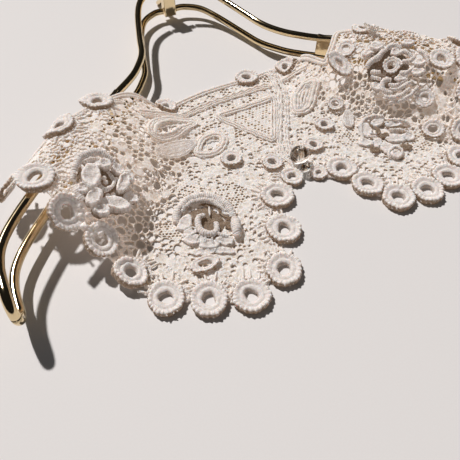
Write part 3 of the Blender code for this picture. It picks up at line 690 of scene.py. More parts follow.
def make_net(name, outline, zones, keep, seed, node):
    """One half's cells as a sheet with a wall, the area of its cut and the places of its knots.

    Each side of a cell is a bar from the cell's corners to its hole, and a shut cell is filled to its middle.
    """
    chance = np.random.default_rng(seed)
    edge = np.array(outline)
    points, kinds = spread(zones, seed, np.array([edge.min(0), edge.max(0)]))
    points, source, corners, owner, corner, away, first, count, following = net_cells(points)
    jitter, bar, shut, knots = np.array([zone[4:] for zone in zones])[kinds[source]].T
    bar = bar * chance.uniform(0.8, 1.25, len(points))
    kept = inside(*points.T, outline) & keep(*points.T)
    size = np.zeros(len(points))
    size[owner[first]] = np.add.reduceat(np.hypot(away[:, 0], away[:, 1]), first) / count
    closed = (chance.random(len(points)) < shut) | (size < bar * SMALL_CELL)
    # A shut cell is a hump of close stitches or, more often, a dimple with thread across its bottom.
    dimple = closed & ((chance.random(len(points)) < DIMPLES) | (jitter < EVEN_JITTER))
    humped = closed & ~dimple
    hump = np.where(dimple, DIMPLE_DROP, chance.uniform(0.0, HUMP_MOST, len(points)))
    shrink = np.where(humped, 0.5, np.clip(1 - bar / np.maximum(size, 0.1), 0.2, 0.9))
    hole = points[owner] + away * shrink[owner, None]
    rim = np.where(humped, THREAD_TOP + 0.6 * hump, THREAD_EDGE)
    rolling = lumpy(np.column_stack([corners, np.zeros(len(corners))]), 0.22, 7.0, seed)[:, 2]
    corner_w = THREAD_TOP + rolling + chance.normal(0, 0.07, len(corners))
    flat = np.vstack([np.column_stack([corners, corner_w]), np.column_stack([hole, rim[owner]]),
                      np.column_stack([points, THREAD_TOP + hump])])
    # Painted shade: the open holes' rims are painted darkest, a dimple's bottom and rim less, a hump's rim a
    # little.
    painted_light = np.concatenate([np.ones(len(corners)), np.select([humped, dimple], [0.95, 0.82], 0.36)[owner],
                            np.where(dimple, 0.6, 1.0)])
    n, m = len(corners), len(corners) + len(hole)
    whole = kept[owner] & (count.repeat(count) > 2)
    filled = np.flatnonzero(whole & closed[owner])
    tris = np.stack([filled + n, following[filled] + n, owner[filled] + m], -1)
    k = np.flatnonzero(whole)
    quads = np.stack([corner[k], corner[following[k]], following[k] + n, k + n], -1)
    thirds = (points[owner[k]], corners[corner[k]], corners[corner[following[k]]])
    a, b, c = (metres(over_cloth(np.column_stack([p, np.full(len(k), CUT_LEVEL)]))) for p in thirds)
    area = float(np.linalg.norm(np.cross(b - a, c - a), axis=1).sum() / 2)
    used = np.unique(np.concatenate([quads.ravel(), tris.ravel()]))
    number = np.zeros(len(flat), int)
    number[used] = np.arange(len(used))
    made = shape(flat[used], [number[quads], number[tris]], painted_light[used])
    sheet = hand_over(name, made, NET_COTTON, node, over_cloth, outward=False)
    wall = sheet.modifiers.new("thread", "SOLIDIFY")
    wall.thickness = NET_WALL * MM
    wall.offset = WALL_OFFSET
    crossing = np.unique(corner[k])
    tied = np.zeros(len(corners))
    tied[corner] = knots[owner]
    knotted = crossing[chance.random(len(crossing)) < tied[crossing]]
    places = np.column_stack([corners[knotted], np.full(len(knotted), THREAD_TOP + KNOT_RISE)])
    print(f"{kept.sum()} cells, {int((kept & ~closed).sum())} open, cut {area:.4f} m2, {len(places)} knots")
    return sheet, area, places


# %% The two halves' stitches
def always(x, y):
    return np.full(np.shape(x), True)


def within(centre, reach, least=0.0):
    """Between two distances from a point."""
    def where(x, y):
        away = np.hypot(x - centre[0], y - centre[1])
        return (away < reach) & (away >= least)
    return where


def above_line(line, low, high):
    """Between two distances above a line that runs from left to right."""
    xs, ys = np.array(line).T
    return lambda x, y: (y > np.interp(x, xs, ys) + low) & (y < np.interp(x, xs, ys) + high)


def in_fan(x, y):
    return inside(x, y, [(a + (a - 4) * 0.02, b + (b + 65) * 0.02) for a, b in FAN])


def left_shoulder(x, y):
    return (x > -118) & (x < -70) & (y > -92) & (y < -40)


def right_of_left_rose(x, y):
    return within(ROSE_LEFT, 60, 12)(x, y) & (x > -128 + 0.3 * (y + 115))


# Each zone: where; the pitch; the rows' turn, or the motif that they go round; the stretch along the rows;
# jitter; half a bar's width; the share of cells worked shut; the share of crossings with a knot.
LEFT_ZONES = [
    (in_fan, 3.0, 2.0, 1.1, 0.08, 1.02, 0.50, 0.0),
    (above_line(LEFT_NECK_CORD, -1.0, 30.0), 2.7, 6.0, 2.3, 0.18, 0.66, 0.45, 0.12),
    (within((-75, -114), 10), 2.6, 20.0, 1.0, 0.16, 0.55, 0.45, 0.0),
    (within((-52, -134), 12), 2.6, -15.0, 1.0, 0.16, 0.55, 0.45, 0.0),
    (within((-100, -146), 9), 2.5, 40.0, 1.0, 0.16, 0.55, 0.45, 0.0),
    (left_shoulder, 3.0, -72.0, 2.1, 0.2, 0.70, 0.40, 0.12),
    (right_of_left_rose, 3.7, ROSE_LEFT, 1.65, 0.52, 0.70, 0.12, 0.5),
    (within(ROSE_LEFT, 46), 3.0, ROSE_LEFT, 1.25, 0.34, 0.76, 0.25, 0.6),
    (within(WHEEL, 80), 3.0, WHEEL, 1.5, 0.24, 0.74, 0.70, 0.12),
    (always, 3.1, 15.0, 1.3, 0.27, 0.74, 0.70, 0.12)]
RIGHT_ZONES = [
    (above_line([(41, -37), (130, -42)], -1.0, 40.0), 2.7, -6.0, 2.0, 0.18, 0.66, 0.45, 0.15),
    (within((62, -116), 12), 2.6, 35.0, 1.0, 0.15, 0.55, 0.45, 0.0),
    (within((104, -146), 12), 2.6, 10.0, 1.0, 0.15, 0.55, 0.45, 0.0),
    (within(ROSE_RIGHT, 44, 10), 3.4, ROSE_RIGHT, 1.45, 0.46, 0.76, 0.16, 0.5),
    (within(FLOWER, 80), 2.9, FLOWER, 1.45, 0.24, 0.70, 0.70, 0.12),
    (always, 3.0, 50.0, 1.3, 0.27, 0.70, 0.70, 0.12)]


def slot_line(points):
    return [tuple(p) for p in smooth_line(points, 3.0, closed=True).tolist()]


def clear_of(rings, inner, hollows, slots):
    """Cells are left out under the rings, in the small rings' middles, in the hollows and in the slots."""
    discs = [(x, y, r - 0.8) for x, y, r in rings] + [(x, y, r * 0.75) for x, y, r in inner] + hollows

    def keep(x, y):
        kept = always(x, y)
        for cx, cy, r in discs:
            kept &= np.hypot(x - cx, y - cy) > r
        for slot in slots:
            kept &= ~inside(x, y, slot)
        return kept

    return keep


left_keep = clear_of([*LEFT_EDGE, *NECK_RINGS[:2]], INNER_RINGS[:2], [(*WHEEL, 14.5)],
                     [slot_line(CRESCENT_SLOT), slot_line(TEARDROP_SLOT)])
right_keep = clear_of([*RIGHT_EDGE, NECK_RINGS[2]], INNER_RINGS[2:], [],
                      [slot_line(SCROLL_SLOT), BARE_CORNER])
net_left = make_net("net_left", LEFT_OUTLINE, LEFT_ZONES, left_keep, 3, "ground_left")
net_right = make_net("net_right", RIGHT_OUTLINE, RIGHT_ZONES, right_keep, 4, "ground_right")

# %% Knots of the filling
for side, (_, _, places) in (("left", net_left), ("right", net_right)):
    sizes = np.random.default_rng(len(places)).uniform(0.7, 1.2, len(places))
    hand_over(f"knots_{side}", balls(places, sizes), RING_COTTON, place=over_cloth)

# %% [markdown]
# ## Padded rings
#
# Each ring is a hoop of thread worked over closely: a smooth pale roll round the hole, then a band of upright
# stitches that ends in small loops. One section carried round a circle gives it, and waves of the stitches'
# number push the band in and out.

# %% Ring shape
# The ring's section: from the hole (0) to the outside (1), and the height as a share of the thickness.
RING_SECTION = np.array([
    (0.00, 0.30), (0.03, 0.56), (0.12, 0.74), (0.27, 0.83), (0.41, 0.81), (0.49, 0.73), (0.57, 0.83),
    (0.72, 0.94), (0.87, 1.00), (0.96, 0.93), (1.00, 0.74), (0.98, 0.40), (0.93, 0.04), (0.50, 0.0),
    (0.12, 0.0), (0.03, 0.10)])
STITCHES_PER_MM = 2.1


def ripple(angle, *waves):
    """The sum of size cos(number angle + start)."""
    return sum(size * np.cos(number * angle + start) for size, number, start in waves)


def padded_ring(outer, hole, thick, seed, loops=True):
    """The section's points carried round: r = hole + width t + band wave, w = thick h (1 + relief wave)."""
    chance = np.random.default_rng(seed)
    stitches = max(14, round(outer * STITCHES_PER_MM))
    t, h = RING_SECTION.T
    turn = np.linspace(0, 2 * np.pi, stitches * 5, endpoint=False)[:, None]
    drift = chance.uniform(0, 6.28, 4)
    width = 1 + ripple(turn, (0.05, 2, drift[0]), (0.03, 5, drift[1]), (0.02, 9, drift[3]))
    post = np.cos(stitches * turn + 0.9 * np.sin(3 * turn + drift[2]))
    wrap = np.cos(2 * stitches * turn + 9 * t)
    band = np.clip((t - 0.5) / 0.3, 0, 1) * np.clip(h * 6, 0, 1)
    roll = (1 - np.clip((t - 0.4) / 0.15, 0, 1)) * (h > 0.3)
    middle = hole * (1 + ripple(turn, (0.10, 2, drift[2]), (0.05, 3, drift[0])))
    rho = middle + (outer - middle) * t * width + 0.22 * band * post
    w = thick * h * (1 + 0.06 * band * post + 0.03 * roll * wrap)
    # Painted shade: darker at the hole's edge, in the groove and on the low outer wall, and with the stitches
    # of the band and the roll.
    painted_light = 0.95 + 0.12 * band * post + 0.05 * roll * wrap - 0.4 * (t < 0.04)
    painted_light = painted_light - 0.15 * (np.abs(t - 0.49) < 0.02) - 0.95 * (t > 0.9) * (h < 0.8)
    ring = wrapped(np.stack(polar(rho, turn, w), -1), True, painted_light, (turn * outer, t * 6, 1.0))
    made = [uneven(ring, 0.22, 9.0, seed)]
    if loops:
        a = (np.arange(stitches) + chance.uniform(-0.3, 0.3, stitches)) * 2 * np.pi / stitches
        reach = outer - 0.1 + chance.uniform(-0.35, 0.3, stitches) + ripple(a, (0.05 * outer, 2, drift[0]))
        middles_of_loops = np.column_stack(polar(reach, a, thick * chance.uniform(0.35, 0.85, stitches)))
        # The loops are painted a little darker as shade.
        made.append(painted_darker(balls(middles_of_loops, chance.uniform(0.4, 0.7, stitches)), 0.75))
    return joined(made)


# %% Rings of the edge, the neck and the mesh
EDGE_THICK, INNER_THICK = 5.2, 3.2
EDGE_HOLE, SMALL_HOLE, INNER_HOLE, OVAL_HOLE = 0.35, 0.26, 0.38, 0.42
SMALL_HOLED, TIPPED_UP = ("left", 12), ("left", 10)

for side, rows in (("left", LEFT_EDGE), ("right", RIGHT_EDGE), ("neck", NECK_RINGS)):
    for i, (x, y, outer) in enumerate(rows, 1):
        hole = outer * (SMALL_HOLE if (side, i) == SMALL_HOLED else EDGE_HOLE)
        thick = EDGE_THICK * min(1.0, outer / RIM + 0.1)
        made = padded_ring(outer * 1.04, hole, thick, i + len(side) * 20)
        place = lay_round((x, y), 0.0)
        if (side, i) == TIPPED_UP:
            middle = over_cloth(np.array((x, y, 2.0))) + [2.0, -3.0, -2.0]
            made, place = tipped(moved(made, [0.0, 0.0, -2.0]), 50, 130, middle), as_made
        hand_over(f"edge_ring_{side}_{i:02d}", made, RING_COTTON, f"ring_{side}_{i:02d}", place)
for i, (x, y, outer) in enumerate(INNER_RINGS, 1):
    made = padded_ring(outer, outer * INNER_HOLE, INNER_THICK, 90 + i)
    hand_over(f"small_ring_{i:02d}", made, RING_COTTON, f"ring_inner_{i:02d}", lay_round((x, y), CLOTH + 0.1))
made = stretched(padded_ring(OVAL_RING[2], OVAL_RING[2] * OVAL_HOLE, INNER_THICK, 120), 1.5, 0.9)
hand_over("small_ring_oval", made, RING_COTTON, "ring_oval", lay_round(OVAL_RING, CLOTH + 0.1))

# %% [markdown]
# ## Cords
#
# The fan, the slots, the neck and the front edges are drawn by cords: a few strands covered with close
# stitches. A tube with a slanted wave along it reads as such a cord, and a few side by side make a band.

# %% Corded shapes
STITCH = 1.5
CORD_STEP = 0.5


def cord(line, radius, closed=False):
    """A covered cord that lies on w = 0."""
    line = line + [0.0, 0.0, radius * 0.75]
    return tube(line, radius, closed, sides=10, pitch=STITCH, relief=0.09, flat=0.75)


def banded(points, radius, gaps, closed):
    """A cord and thinner ones beside it."""
    line = flat_line(points, CORD_STEP, closed)
    thinner = [cord(beside(line, gap, closed), radius * 0.72, closed) for gap in gaps]
    return joined([cord(line, radius, closed), *thinner])


def rounded(points, radius):
    """A closed outline whose corners are cut by two points."""
    found = []
    for i, point in enumerate(points):
        here = np.array(point)
        before, after = (np.array(p) - here for p in (points[i - 1], points[(i + 1) % len(points)]))
        to_before, to_after = unit(before) * radius, unit(after) * radius
        found += [here + to_before, here + (to_before + to_after) * 0.3, here + to_after, here + after * 0.5]
    return found


for name, points, radius, gaps, closed, node in (
    ("fan_cords", rounded(FAN, 6.0), 1.0, (2.2, -2.0), True, "fan_border"),
    ("crescent_cords", CRESCENT, 1.4, (-2.4, -4.4), True, "scroll_crescent"),
    ("teardrop_cords", TEARDROP, 1.4, (-2.3, 2.4), True, "scroll_teardrop"),
    ("scroll_cords", SCROLL, 1.6, (-2.7, 2.7, 5.2), True, "scroll_right"),
    ("neck_cords_left", LEFT_NECK_CORD, 1.15, (2.4, 4.7), False, "cord_neck_left"),
    ("neck_cords_right", RIGHT_NECK_CORD, 1.15, (2.4,), False, "cord_neck_right"),
):
    made = uneven(banded(points, radius, gaps, closed), 0.35, 11.0, len(name))
    hand_over(name, made, CORD_COTTON, node, lifted(CLOTH - 0.1))

# %% Edges between the rings
BACKS = {
    "left": [[(-187.5, -75), (-170, -70), (-154, -58)], [(-134, -50), (-122, -41)],
             [(-103, -31), (-90, -26), (-67, -23)], [(-49, -20.5), (-20, -15), (13.5, -14)],
             [(32.5, -14), (45, -13)]],
    "right": [[(175, -66), (170, -61)], [(150, -52), (141, -47), (133, -42)],
              [(115, -34), (105, -29), (94, -39), (88, -44), (82, -48), (79, -44), (76, -36), (71.5, -24)],
              [(53, -15), (47, -13)]]}
front = flat_line(FRONT_LINE, CORD_STEP)
for side, sign, seed in (("left", 1, 5), ("right", -1, 6)):
    made = joined([cord(beside(front, sign * gap), 1.1) for gap in (1.8, 3.9)])
    hand_over(f"front_edge_{side}", uneven(made, 0.5, 13.0, seed), CORD_COTTON, place=lifted(0.7))
for side, lines in BACKS.items():
    lines = [flat_line(line, CORD_STEP) for line in lines]
    made = [cord(line, 1.3) for line in lines] + [cord(beside(line, 2.6), 1.0) for line in lines]
    hand_over(f"back_edge_{side}", joined(made), CORD_COTTON, place=lifted(0.6))

# %% [markdown]
# ## Roses, the wheel and the flower
#
# A rose of Irish crochet is padded ropes and layers of petals, and no two are alike. Petals could come from
# one rule, but here every rope and petal is placed where it is seen on the real one. A rope is a tube that
# tapers to both ends, and a petal is a round form with a corded rim and a dish inside. The low rounds under
# a motif are padded rings painted dark as shade, and flat forms painted fully dark stand for the shade in
# the gaps of the petals.
#
# A rope's row is its radius and the points (x, y, w) that it runs through. A petal's row is its x, y and w,
# its half sizes and its turn.

# %% Ropes, pads and painted shadow gaps
LAYERED_FROM = 4.2


def rope(line, radius, relief, flat=1.0):
    return tube(line, radius, sides=12, pitch=STITCH, relief=relief, flat=flat)


def tapered(number, radius, ends=0.55):
    return radius * (ends + (1 - ends) * np.sin(np.linspace(0, np.pi, number)) ** 0.4)


def pad(middle, half, turn, seed, upright=0.6):
    """A worked petal, set on the cloth and held more than half upright.

    Outwards from its middle the height is half z (0.66 + 0.34 bump), with the bump at 0.78 of the reach.
    """
    v = np.linspace(-np.pi / 2 + 0.06, np.pi / 2 - 0.06, 18)[:, None]
    a = 2 * np.pi * np.arange(40) / 40
    push = np.abs(np.cos(v)) ** 0.7
    ribs = np.cos(round(3.0 * half[0]) * 2 * a + seed) * np.clip((push - 0.3) / 0.5, 0, 1)
    bent = push * (1 + ripple(a, (0.07, 2, seed), (0.05, 3, 2 * seed))) * (1 + 0.015 * ribs)
    x, y = half[0] * bent * np.cos(a), half[1] * bent * np.sin(a)
    rim = np.exp(-((push - 0.78) / 0.26) ** 2)
    top = half[2] * (0.66 + 0.34 * rim * (1 + 0.35 * np.cos(a + seed)) + 0.07 * ribs)
    z = np.where(v > 0, top * np.clip(np.sin(v) * 1.6, 0, 1) ** 0.6, half[2] * np.sin(v))
    n = unit(normal(*middle[:2]) * (1 - upright) + [0, 0, upright])
    along = np.array([*cos_sin(turn), 0.0])
    along = unit(along - n * (along @ n))
    grid = x[..., None] * along + y[..., None] * np.cross(n, along) + z[..., None] * n
    # Painted shade: darker underneath and in the dish, lighter on the rim and the ribs.
    painted_light = np.clip(0.62 + 0.75 * np.sin(v), 0.0, 1.0) * (0.8 + 0.2 * rim) + 0.12 * ribs
    made = wrapped(over_cloth(np.array(middle), CLOTH) + grid, False, painted_light, (x, y * 2.0, 1.0))
    return uneven(made, 0.3, 6.0, seed)


def by_parts(ropes, pads, seed):
    """A motif's ropes and pads. A pad that stands high has a lower one under it, painted dark as its shade."""
    made = []
    for radius, *points in ropes:
        line = over_cloth(smooth_line(points, 0.35), CLOTH)
        made.append(uneven(rope(line, tapered(len(line), radius), 0.06), 0.25, 7.0, seed + len(made)))
    for i, (x, y, w, half, turn) in enumerate(pads):
        made.append(pad((x, y, w), half, turn, seed + i))
        if w > LAYERED_FROM:
            made.append(painted_darker(pad((x, y, w * 0.45), np.array(half) * 0.86, turn, seed + i), 0.25))
    return made


def painted_shadow_gaps(rows, w=1.1):
    """Painted shadow in the gaps of petals: flat forms painted fully dark, each an x, y, half length, half
    width and turn.
    """
    return [painted_darker(pad((x, y, w), (long, wide, 0.7), turn, 5, upright=0.0), 0.0)
            for x, y, long, wide, turn in rows]


def base_of(centre, rings):
    """Low rings under a motif, without loops: each its radius, hole, thickness and seed."""
    points, *rest = joined([padded_ring(*ring, loops=False) for ring in rings])
    return (lay_round(centre, CLOTH)(points), *rest)


# %% The left rose
LEFT_ROSE_ROPES = [
    (2.7, (-150, -109, 1.5), (-146, -101, 2.5), (-141, -94, 3), (-134, -91, 3.4), (-129, -90, 3.6),
     (-125, -93, 3.4), (-123, -97, 3), (-121, -102, 1.5)),
    (1.3, (-140, -97, 3.4), (-135, -95, 3.8), (-131, -95, 3.6), (-128, -96, 3.4)),
    (1.4, (-137, -111, 5), (-138, -114, 5.8), (-136, -116, 6.2), (-132, -114, 6), (-128, -110, 5)),
    (2.2, (-150, -113, 2.5), (-151, -118, 3.5), (-150, -123, 4)),
    (1.8, (-121, -112, 4), (-122, -119, 5), (-125, -126, 5)),
    (1.0, (-129, -103, 4), (-128, -107, 4.6), (-128, -111, 5))]
LEFT_ROSE_PADS = [
    (-134.5, -97.5, 2, (8.0, 4.0, 2.6), -20), (-129.5, -99.5, 5, (4.3, 4.2, 3.4), 0),
    (-140.5, -108.5, 5, (11.0, 6.0, 3.4), 66), (-123.5, -111, 6.2, (8.6, 4.2, 3.0), 50),
    (-144.5, -122, 6.6, (6.4, 5.2, 3.2), 50), (-134.5, -125.5, 7.4, (9.8, 5.6, 3.6), -26),
    (-143.5, -129.5, 7, (5.6, 4.0, 3.0), -20), (-122, -101.5, 3.6, (5.4, 3.6, 2.6), -60),
    (-147.5, -116, 4.5, (4.6, 3.8, 2.8), 20), (-117.5, -105.5, 4.4, (3.6, 5.4, 2.4), 10),
    (-122, -120, 5.4, (3.4, 5.6, 2.4), 60), (-144, -103.5, 2, (3.6, 6.4, 2.4), -10)]
PEARLS = np.array([
    (-132, -107, 2.5), (-132, -109.5, 2.5), (-125, -107, 3), (-134.5, -118.5, 3.5), (-131, -117.5, 3.5)])
BOBBLES = np.array([
    (-149.5, -130.5, 2), (-154, -137.5, 2), (-148, -137, 2), (-147, -141.5, 2), (-153, -125.5, 2),
    (-154, -131.5, 2), (-152.5, -142.5, 2), (-129, -127.5, 2), (-148.5, -124.5, 2), (-138, -134, 1.5),
    (-153, -119.5, 2), (-149, -119.5, 2.5), (-146, -126.5, 2.5)])

made = by_parts(LEFT_ROSE_ROPES, LEFT_ROSE_PADS, 21)
# The low rings under the rose are painted dark as shade.
made.append(painted_darker(base_of(ROSE_LEFT, [(16.2, 9.0, 1.6, 31), (11.0, 0.6, 0.8, 32)]), 0.2))
made.append(balls(over_cloth(PEARLS, CLOTH), 1.7, squash=1.0))
# Two flat forms painted fully dark stand for the shade in gaps of the petals.
made += painted_shadow_gaps([(-146.5, -107, 6.0, 1.3, 66), (-139, -119, 3.0, 1.4, 20)], 5.0)
made.append(uneven(balls(over_cloth(BOBBLES, CLOTH), np.linspace(2.6, 1.8, len(BOBBLES))), 0.5, 4.0, 24))
hand_over("rose_tall", joined(made), MOTIF_COTTON, "rose_left")

# %% The right rose
RIGHT_ROSE_ROPES = [
    (2.5, (102, -77, 4), (106, -75, 4), (112, -76, 4), (118, -74, 3.5)),
    (1.9, (103, -81, 4.5), (106, -84, 4.5), (109, -86, 4.5)),
    (1.7, (102, -84, 4.5), (104, -87, 5), (107, -90, 4.5)),
    (2.1, (113, -96, 5), (110, -93, 5), (107, -93, 5), (105, -97, 5.5), (107, -101, 5.5), (110, -104, 5)),
    (1.7, (110, -97, 5), (114, -101, 5.5), (118, -102, 5), (123, -103, 4.5)),
    (1.6, (109, -100, 5.5), (114, -104, 5.5), (119, -105, 5.5), (125, -106, 4.5)),
    (1.7, (104, -102, 5.5), (109, -107, 6), (115, -109, 5.5), (122, -109, 5)),
    (1.7, (105, -108, 4.5), (112, -112, 5), (120, -113, 4.5), (127, -112, 4)),
    (2.0, (118, -75, 3), (123, -74, 3), (127, -76, 3), (129, -81, 3)),
    (2.0, (126, -84, 3.5), (129, -84, 3.5), (131, -87, 3.5), (132, -92, 3.5)),
    (1.9, (125, -90, 4), (129, -93, 4), (134, -93, 3.5)),
    (2.0, (120, -95, 4.5), (124, -99, 4.5), (129, -99, 4)),
    (1.8, (139, -90, 2.5), (141, -96, 3), (140, -103, 3))]
RIGHT_ROSE_PADS = [
    (115, -67.5, 2, (6.0, 4.4, 2.2), -20), (124, -81, 2.4, (4.6, 3.8, 2.2), 0),
    (136, -80, 2, (5.0, 3.4, 2.2), -40), (130.5, -104, 4, (5.0, 3.8, 2.6), -30),
    (134.5, -99, 3.5, (4.2, 4.0, 2.4), 0), (107.5, -67.5, 2, (4.4, 3.6, 2.2), 30),
    (102, -92.5, 4, (3.8, 4.6, 2.6), 0), (121.5, -88.5, 2.6, (4.4, 4.4, 2.2), 0),
    (119.5, -99, 4, (5.6, 3.4, 2.2), -10)]

made = by_parts(RIGHT_ROSE_ROPES, RIGHT_ROSE_PADS, 41)
# The low rings under the rose are painted dark as shade.
made.append(painted_darker(base_of(ROSE_RIGHT, [(16.2, 9.0, 1.6, 33), (11.0, 0.6, 0.8, 34)]), 0.2))
points, *rest = moved(padded_ring(6.6, 2.8, 3.4, 35, loops=False), [0.0, 0.0, 3.6])
made.append((lay_round((117.0, -87.5), CLOTH)(points), *rest))
hand_over("rose_ringed", joined(made), MOTIF_COTTON, "rose_right")

# %% The flower
FLOWER_ROPES = [
    (1.7, (68, -128, 0.5), (72, -119, 0.8), (79, -110, 0.9), (88, -108, 0.9), (97, -113, 0.6)),
    (0.8, (76, -124, 1.4), (81, -127, 1.4)),
    (0.8, (74, -127, 1.4), (79, -130, 1.4)),
    (1.2, (93, -127, 1.2), (101, -131, 1.6), (107, -138, 1.0)),
    (1.4, (99, -118, 0.8), (107, -124, 1.2), (111, -131, 0.8)),
    (1.3, (74, -154, 1), (76, -149, 1.6), (83, -146, 1.8), (87, -150, 1.6), (84, -156, 1))]
FLOWER_PADS = [
    (77, -118, 0.2, (9.0, 5.4, 1.5), 60), (91, -115, 0.2, (7.0, 4.6, 1.5), 10),
    (92, -137, 0.2, (8.0, 5.4, 1.5), -30), (68, -131, 0.2, (6.0, 4.6, 1.5), -20),
    (79, -143, 0.2, (5.4, 6.4, 1.5), -30), (80, -153, 0.8, (5.0, 3.8, 2.2), -20),
    (102, -140, 0.2, (6.0, 4.6, 1.5), -30), (76, -135, 0.4, (3.4, 5.8, 1.4), -40),
    (100, -123, 0.2, (7.0, 4.0, 1.4), -30)]

made = by_parts(FLOWER_ROPES, FLOWER_PADS, 61)
# Flat forms painted fully dark stand for the shade in the gaps of the petals.
made += painted_shadow_gaps([
    (84, -116, 3, 2, 60), (84, -125, 3.6, 2.2, 40), (86, -131, 3.6, 2.4, -20), (69, -141, 4, 3, -60),
    (93, -149, 4.6, 3, -40), (101, -128, 8, 1.3, -30), (95, -120, 3, 1.2, 0)])
hand_over("flower_pointed", joined(made), MOTIF_COTTON, "flower")

# %% The wheel rose, an arch of thick cord over a hollow
WHEEL_ROPES = [
    (3.3, (-96, -142, 0.8), (-92, -134, 1.4), (-85, -129, 1.8), (-79, -127, 2.1), (-72, -128, 2.2),
     (-65, -132, 2.2), (-61, -138, 2.1), (-58, -146, 1.8), (-59, -154, 1.2)),
    (2.0, (-89, -135, 2), (-84, -132, 2.6), (-80, -131, 2.9), (-73, -132, 3), (-67, -136, 3),
     (-64, -141, 2.8), (-62, -148, 2.4)),
    (3.4, (-59, -156, 2), (-61, -163, 3), (-63, -168, 3), (-64, -171, 2)),
    (2.2, (-76, -145, 2.4), (-80, -145, 2.8), (-83, -149, 3.0), (-84, -155, 3.0), (-82, -160, 3.0),
     (-78, -162, 2.8), (-74, -160, 2.6), (-72, -154, 2.4)),
    (0.7, (-69, -134, 0.4), (-70.5, -140, 0.8), (-73, -146, 1.4)),
    (1.3, (-75, -161, 2.5), (-73, -165, 2), (-69, -168, 1.5)),
    (0.8, (-85, -158, 2.5), (-88, -160, 1.8), (-90, -162, 1)),
    (0.8, (-82, -161, 2.5), (-84, -164, 1.8), (-85, -166, 1)),
    (0.8, (-79, -163, 2.5), (-80, -166, 1.8), (-80, -169, 1)),
    (0.8, (-74, -163, 2.5), (-74, -167, 1.8), (-74, -170, 1))]
WHEEL_PADS = [
    (-90.5, -144.5, 0.5, (6.8, 5.0, 1.8), 40), (-90, -153, 0.5, (5.4, 3.6, 1.6), 10),
    (-60.5, -148.5, 0.6, (4.0, 3.6, 2.0), -50), (-90.5, -160, 0.5, (7.5, 4.0, 1.7), -15),
    (-83, -167.5, 0.5, (7.5, 4.0, 1.7), -28), (-72.5, -169.5, 0.5, (6.5, 4.0, 1.7), -45),
    (-88, -171.5, 0.1, (9.0, 3.0, 1.2), -20), (-77.5, -175.5, 0.1, (8.0, 3.0, 1.2), -36)]

made = by_parts(WHEEL_ROPES, WHEEL_PADS, 81)
# A flat disc in the hollow under the arch, painted fully dark, stands for the shade there, and flat forms
# painted fully dark for the shade in gaps.
made.append(painted_darker(base_of(WHEEL, [(14.5, 0.6, -1.0, 38)]), 0.0))
made += painted_shadow_gaps([(-62, -149, 7.0, 3.2, -75), (-64.5, -159, 4.0, 2.6, -80), (-67, -136.5, 7.0, 2.4, -20),
                  (-86.5, -150, 2.6, 1.6, 60)])
hand_over("wheel_spoked", joined(made), MOTIF_COTTON, "wheel_rose")

# %% The leaves
def swollen(wave, power=0.8):
    return np.sign(wave) * np.abs(wave) ** power


def blade(half, width):
    """A flat oval section carried along the leaf, which rises at its root and falls at its tip by two degrees.

    The section is width cos a across and half a millimetre sin a through, and two waves, one along the leaf
    and one across, are its stitches.
    """
    u = np.linspace(0, 1, 28)[:, None]
    bearing = np.radians(2 - 4 * u)
    steps = 2 * half / 27 * np.stack([np.cos(bearing), np.sin(bearing)])[:, :-1]
    root = np.reshape([-half, 0.1], (2, 1, 1))
    out, up = root + np.concatenate([np.zeros((2, 1, 1)), np.cumsum(steps, 1)], 1)
    a = -np.pi / 2 + 2 * np.pi * np.arange(36) / 36
    end = (u == 0) | (u == 1)
    across = swollen(np.cos(a))
    side = width * np.sin(np.pi * (0.06 + 0.9 * u)) ** 0.7 * np.where(end, 0.7, 1.0) * across
    rim = 1 + 0.2 * np.maximum(np.abs(across) ** 4, u**6)
    stitch = 0.5 * (np.cos(np.pi * side) + np.cos(2 * np.pi * u * 2 * half / 1.8))
    through = ((1 - 0.3 * u) * np.where(end, 0.6, 1.0) * rim * 0.5 + 0.2 * stitch) * swollen(np.sin(a))
    through = through - 0.02 * side**2 / width
    grid = np.stack([out - through * np.sin(bearing), side, up + through * np.cos(bearing)], -1)
    # Painted shade along the stitches, and darker towards the root.
    return wrapped(grid, False, 0.84 + 0.14 * stitch - 0.22 * (1 - u), (u * 2 * half, side * 3, 1.0))


for name, (x, y, half, width, turn), node in (
    ("leaf_long", (-69.5, -77.0, 19.5, 8.6, 10.0), "leaf_left"),
    ("leaf_small", (72.0, -101.0, 11.0, 5.2, 60.0), "leaf_right"),
):
    made = [blade(half, width)]
    u = np.linspace(-0.84, 0.84, 80)
    for share in (-0.75, -0.38, 0.0, 0.38, 0.75):
        bow = share * width * np.cos(u * 1.45) ** 0.8
        vein = np.column_stack([u * half, bow, 0.5 + 0.1 * np.cos(u * 1.5)])
        made.append(rope(vein, tapered(80, 0.85, 0.5), 0.1, flat=0.55))
    made = uneven(turned(joined(made), turn), 0.25, 8.0, 25)
    hand_over(name, made, CORD_COTTON, node, lay_round((x, y), CLOTH, 0.15))

# %% [markdown]
# ## Rings and ends that stand up
#
# Two more rings do not lie flat: one stands on the slope and one lies over the arm. They are made flat and
# tipped, and then set in place. Where a thread was fastened off, its loops stick out.

# %% Rings that stand up
STANDING_RISE, STANDING_THICK = 5.0, 3.6

for name, (x, y), outer, hole, degrees, bearing, (wide, long, turn), seed in (
    ("ring_on_slope", (85.0, -60.5), 10.2, 2.8, 22, 100, (0.80, 1.30, 12), 51),
    ("ring_over_arm", (146.0, -108.5), 10.0, 3.6, 12, 60, (1.0, 1.0, 0), 52),
):
    made = turned(stretched(padded_ring(outer, hole, STANDING_THICK, seed), wide, long), turn)
    made = tipped(made, degrees, bearing, [x, y, height(x, y) + STANDING_RISE])
    hand_over(name, made, RING_COTTON)

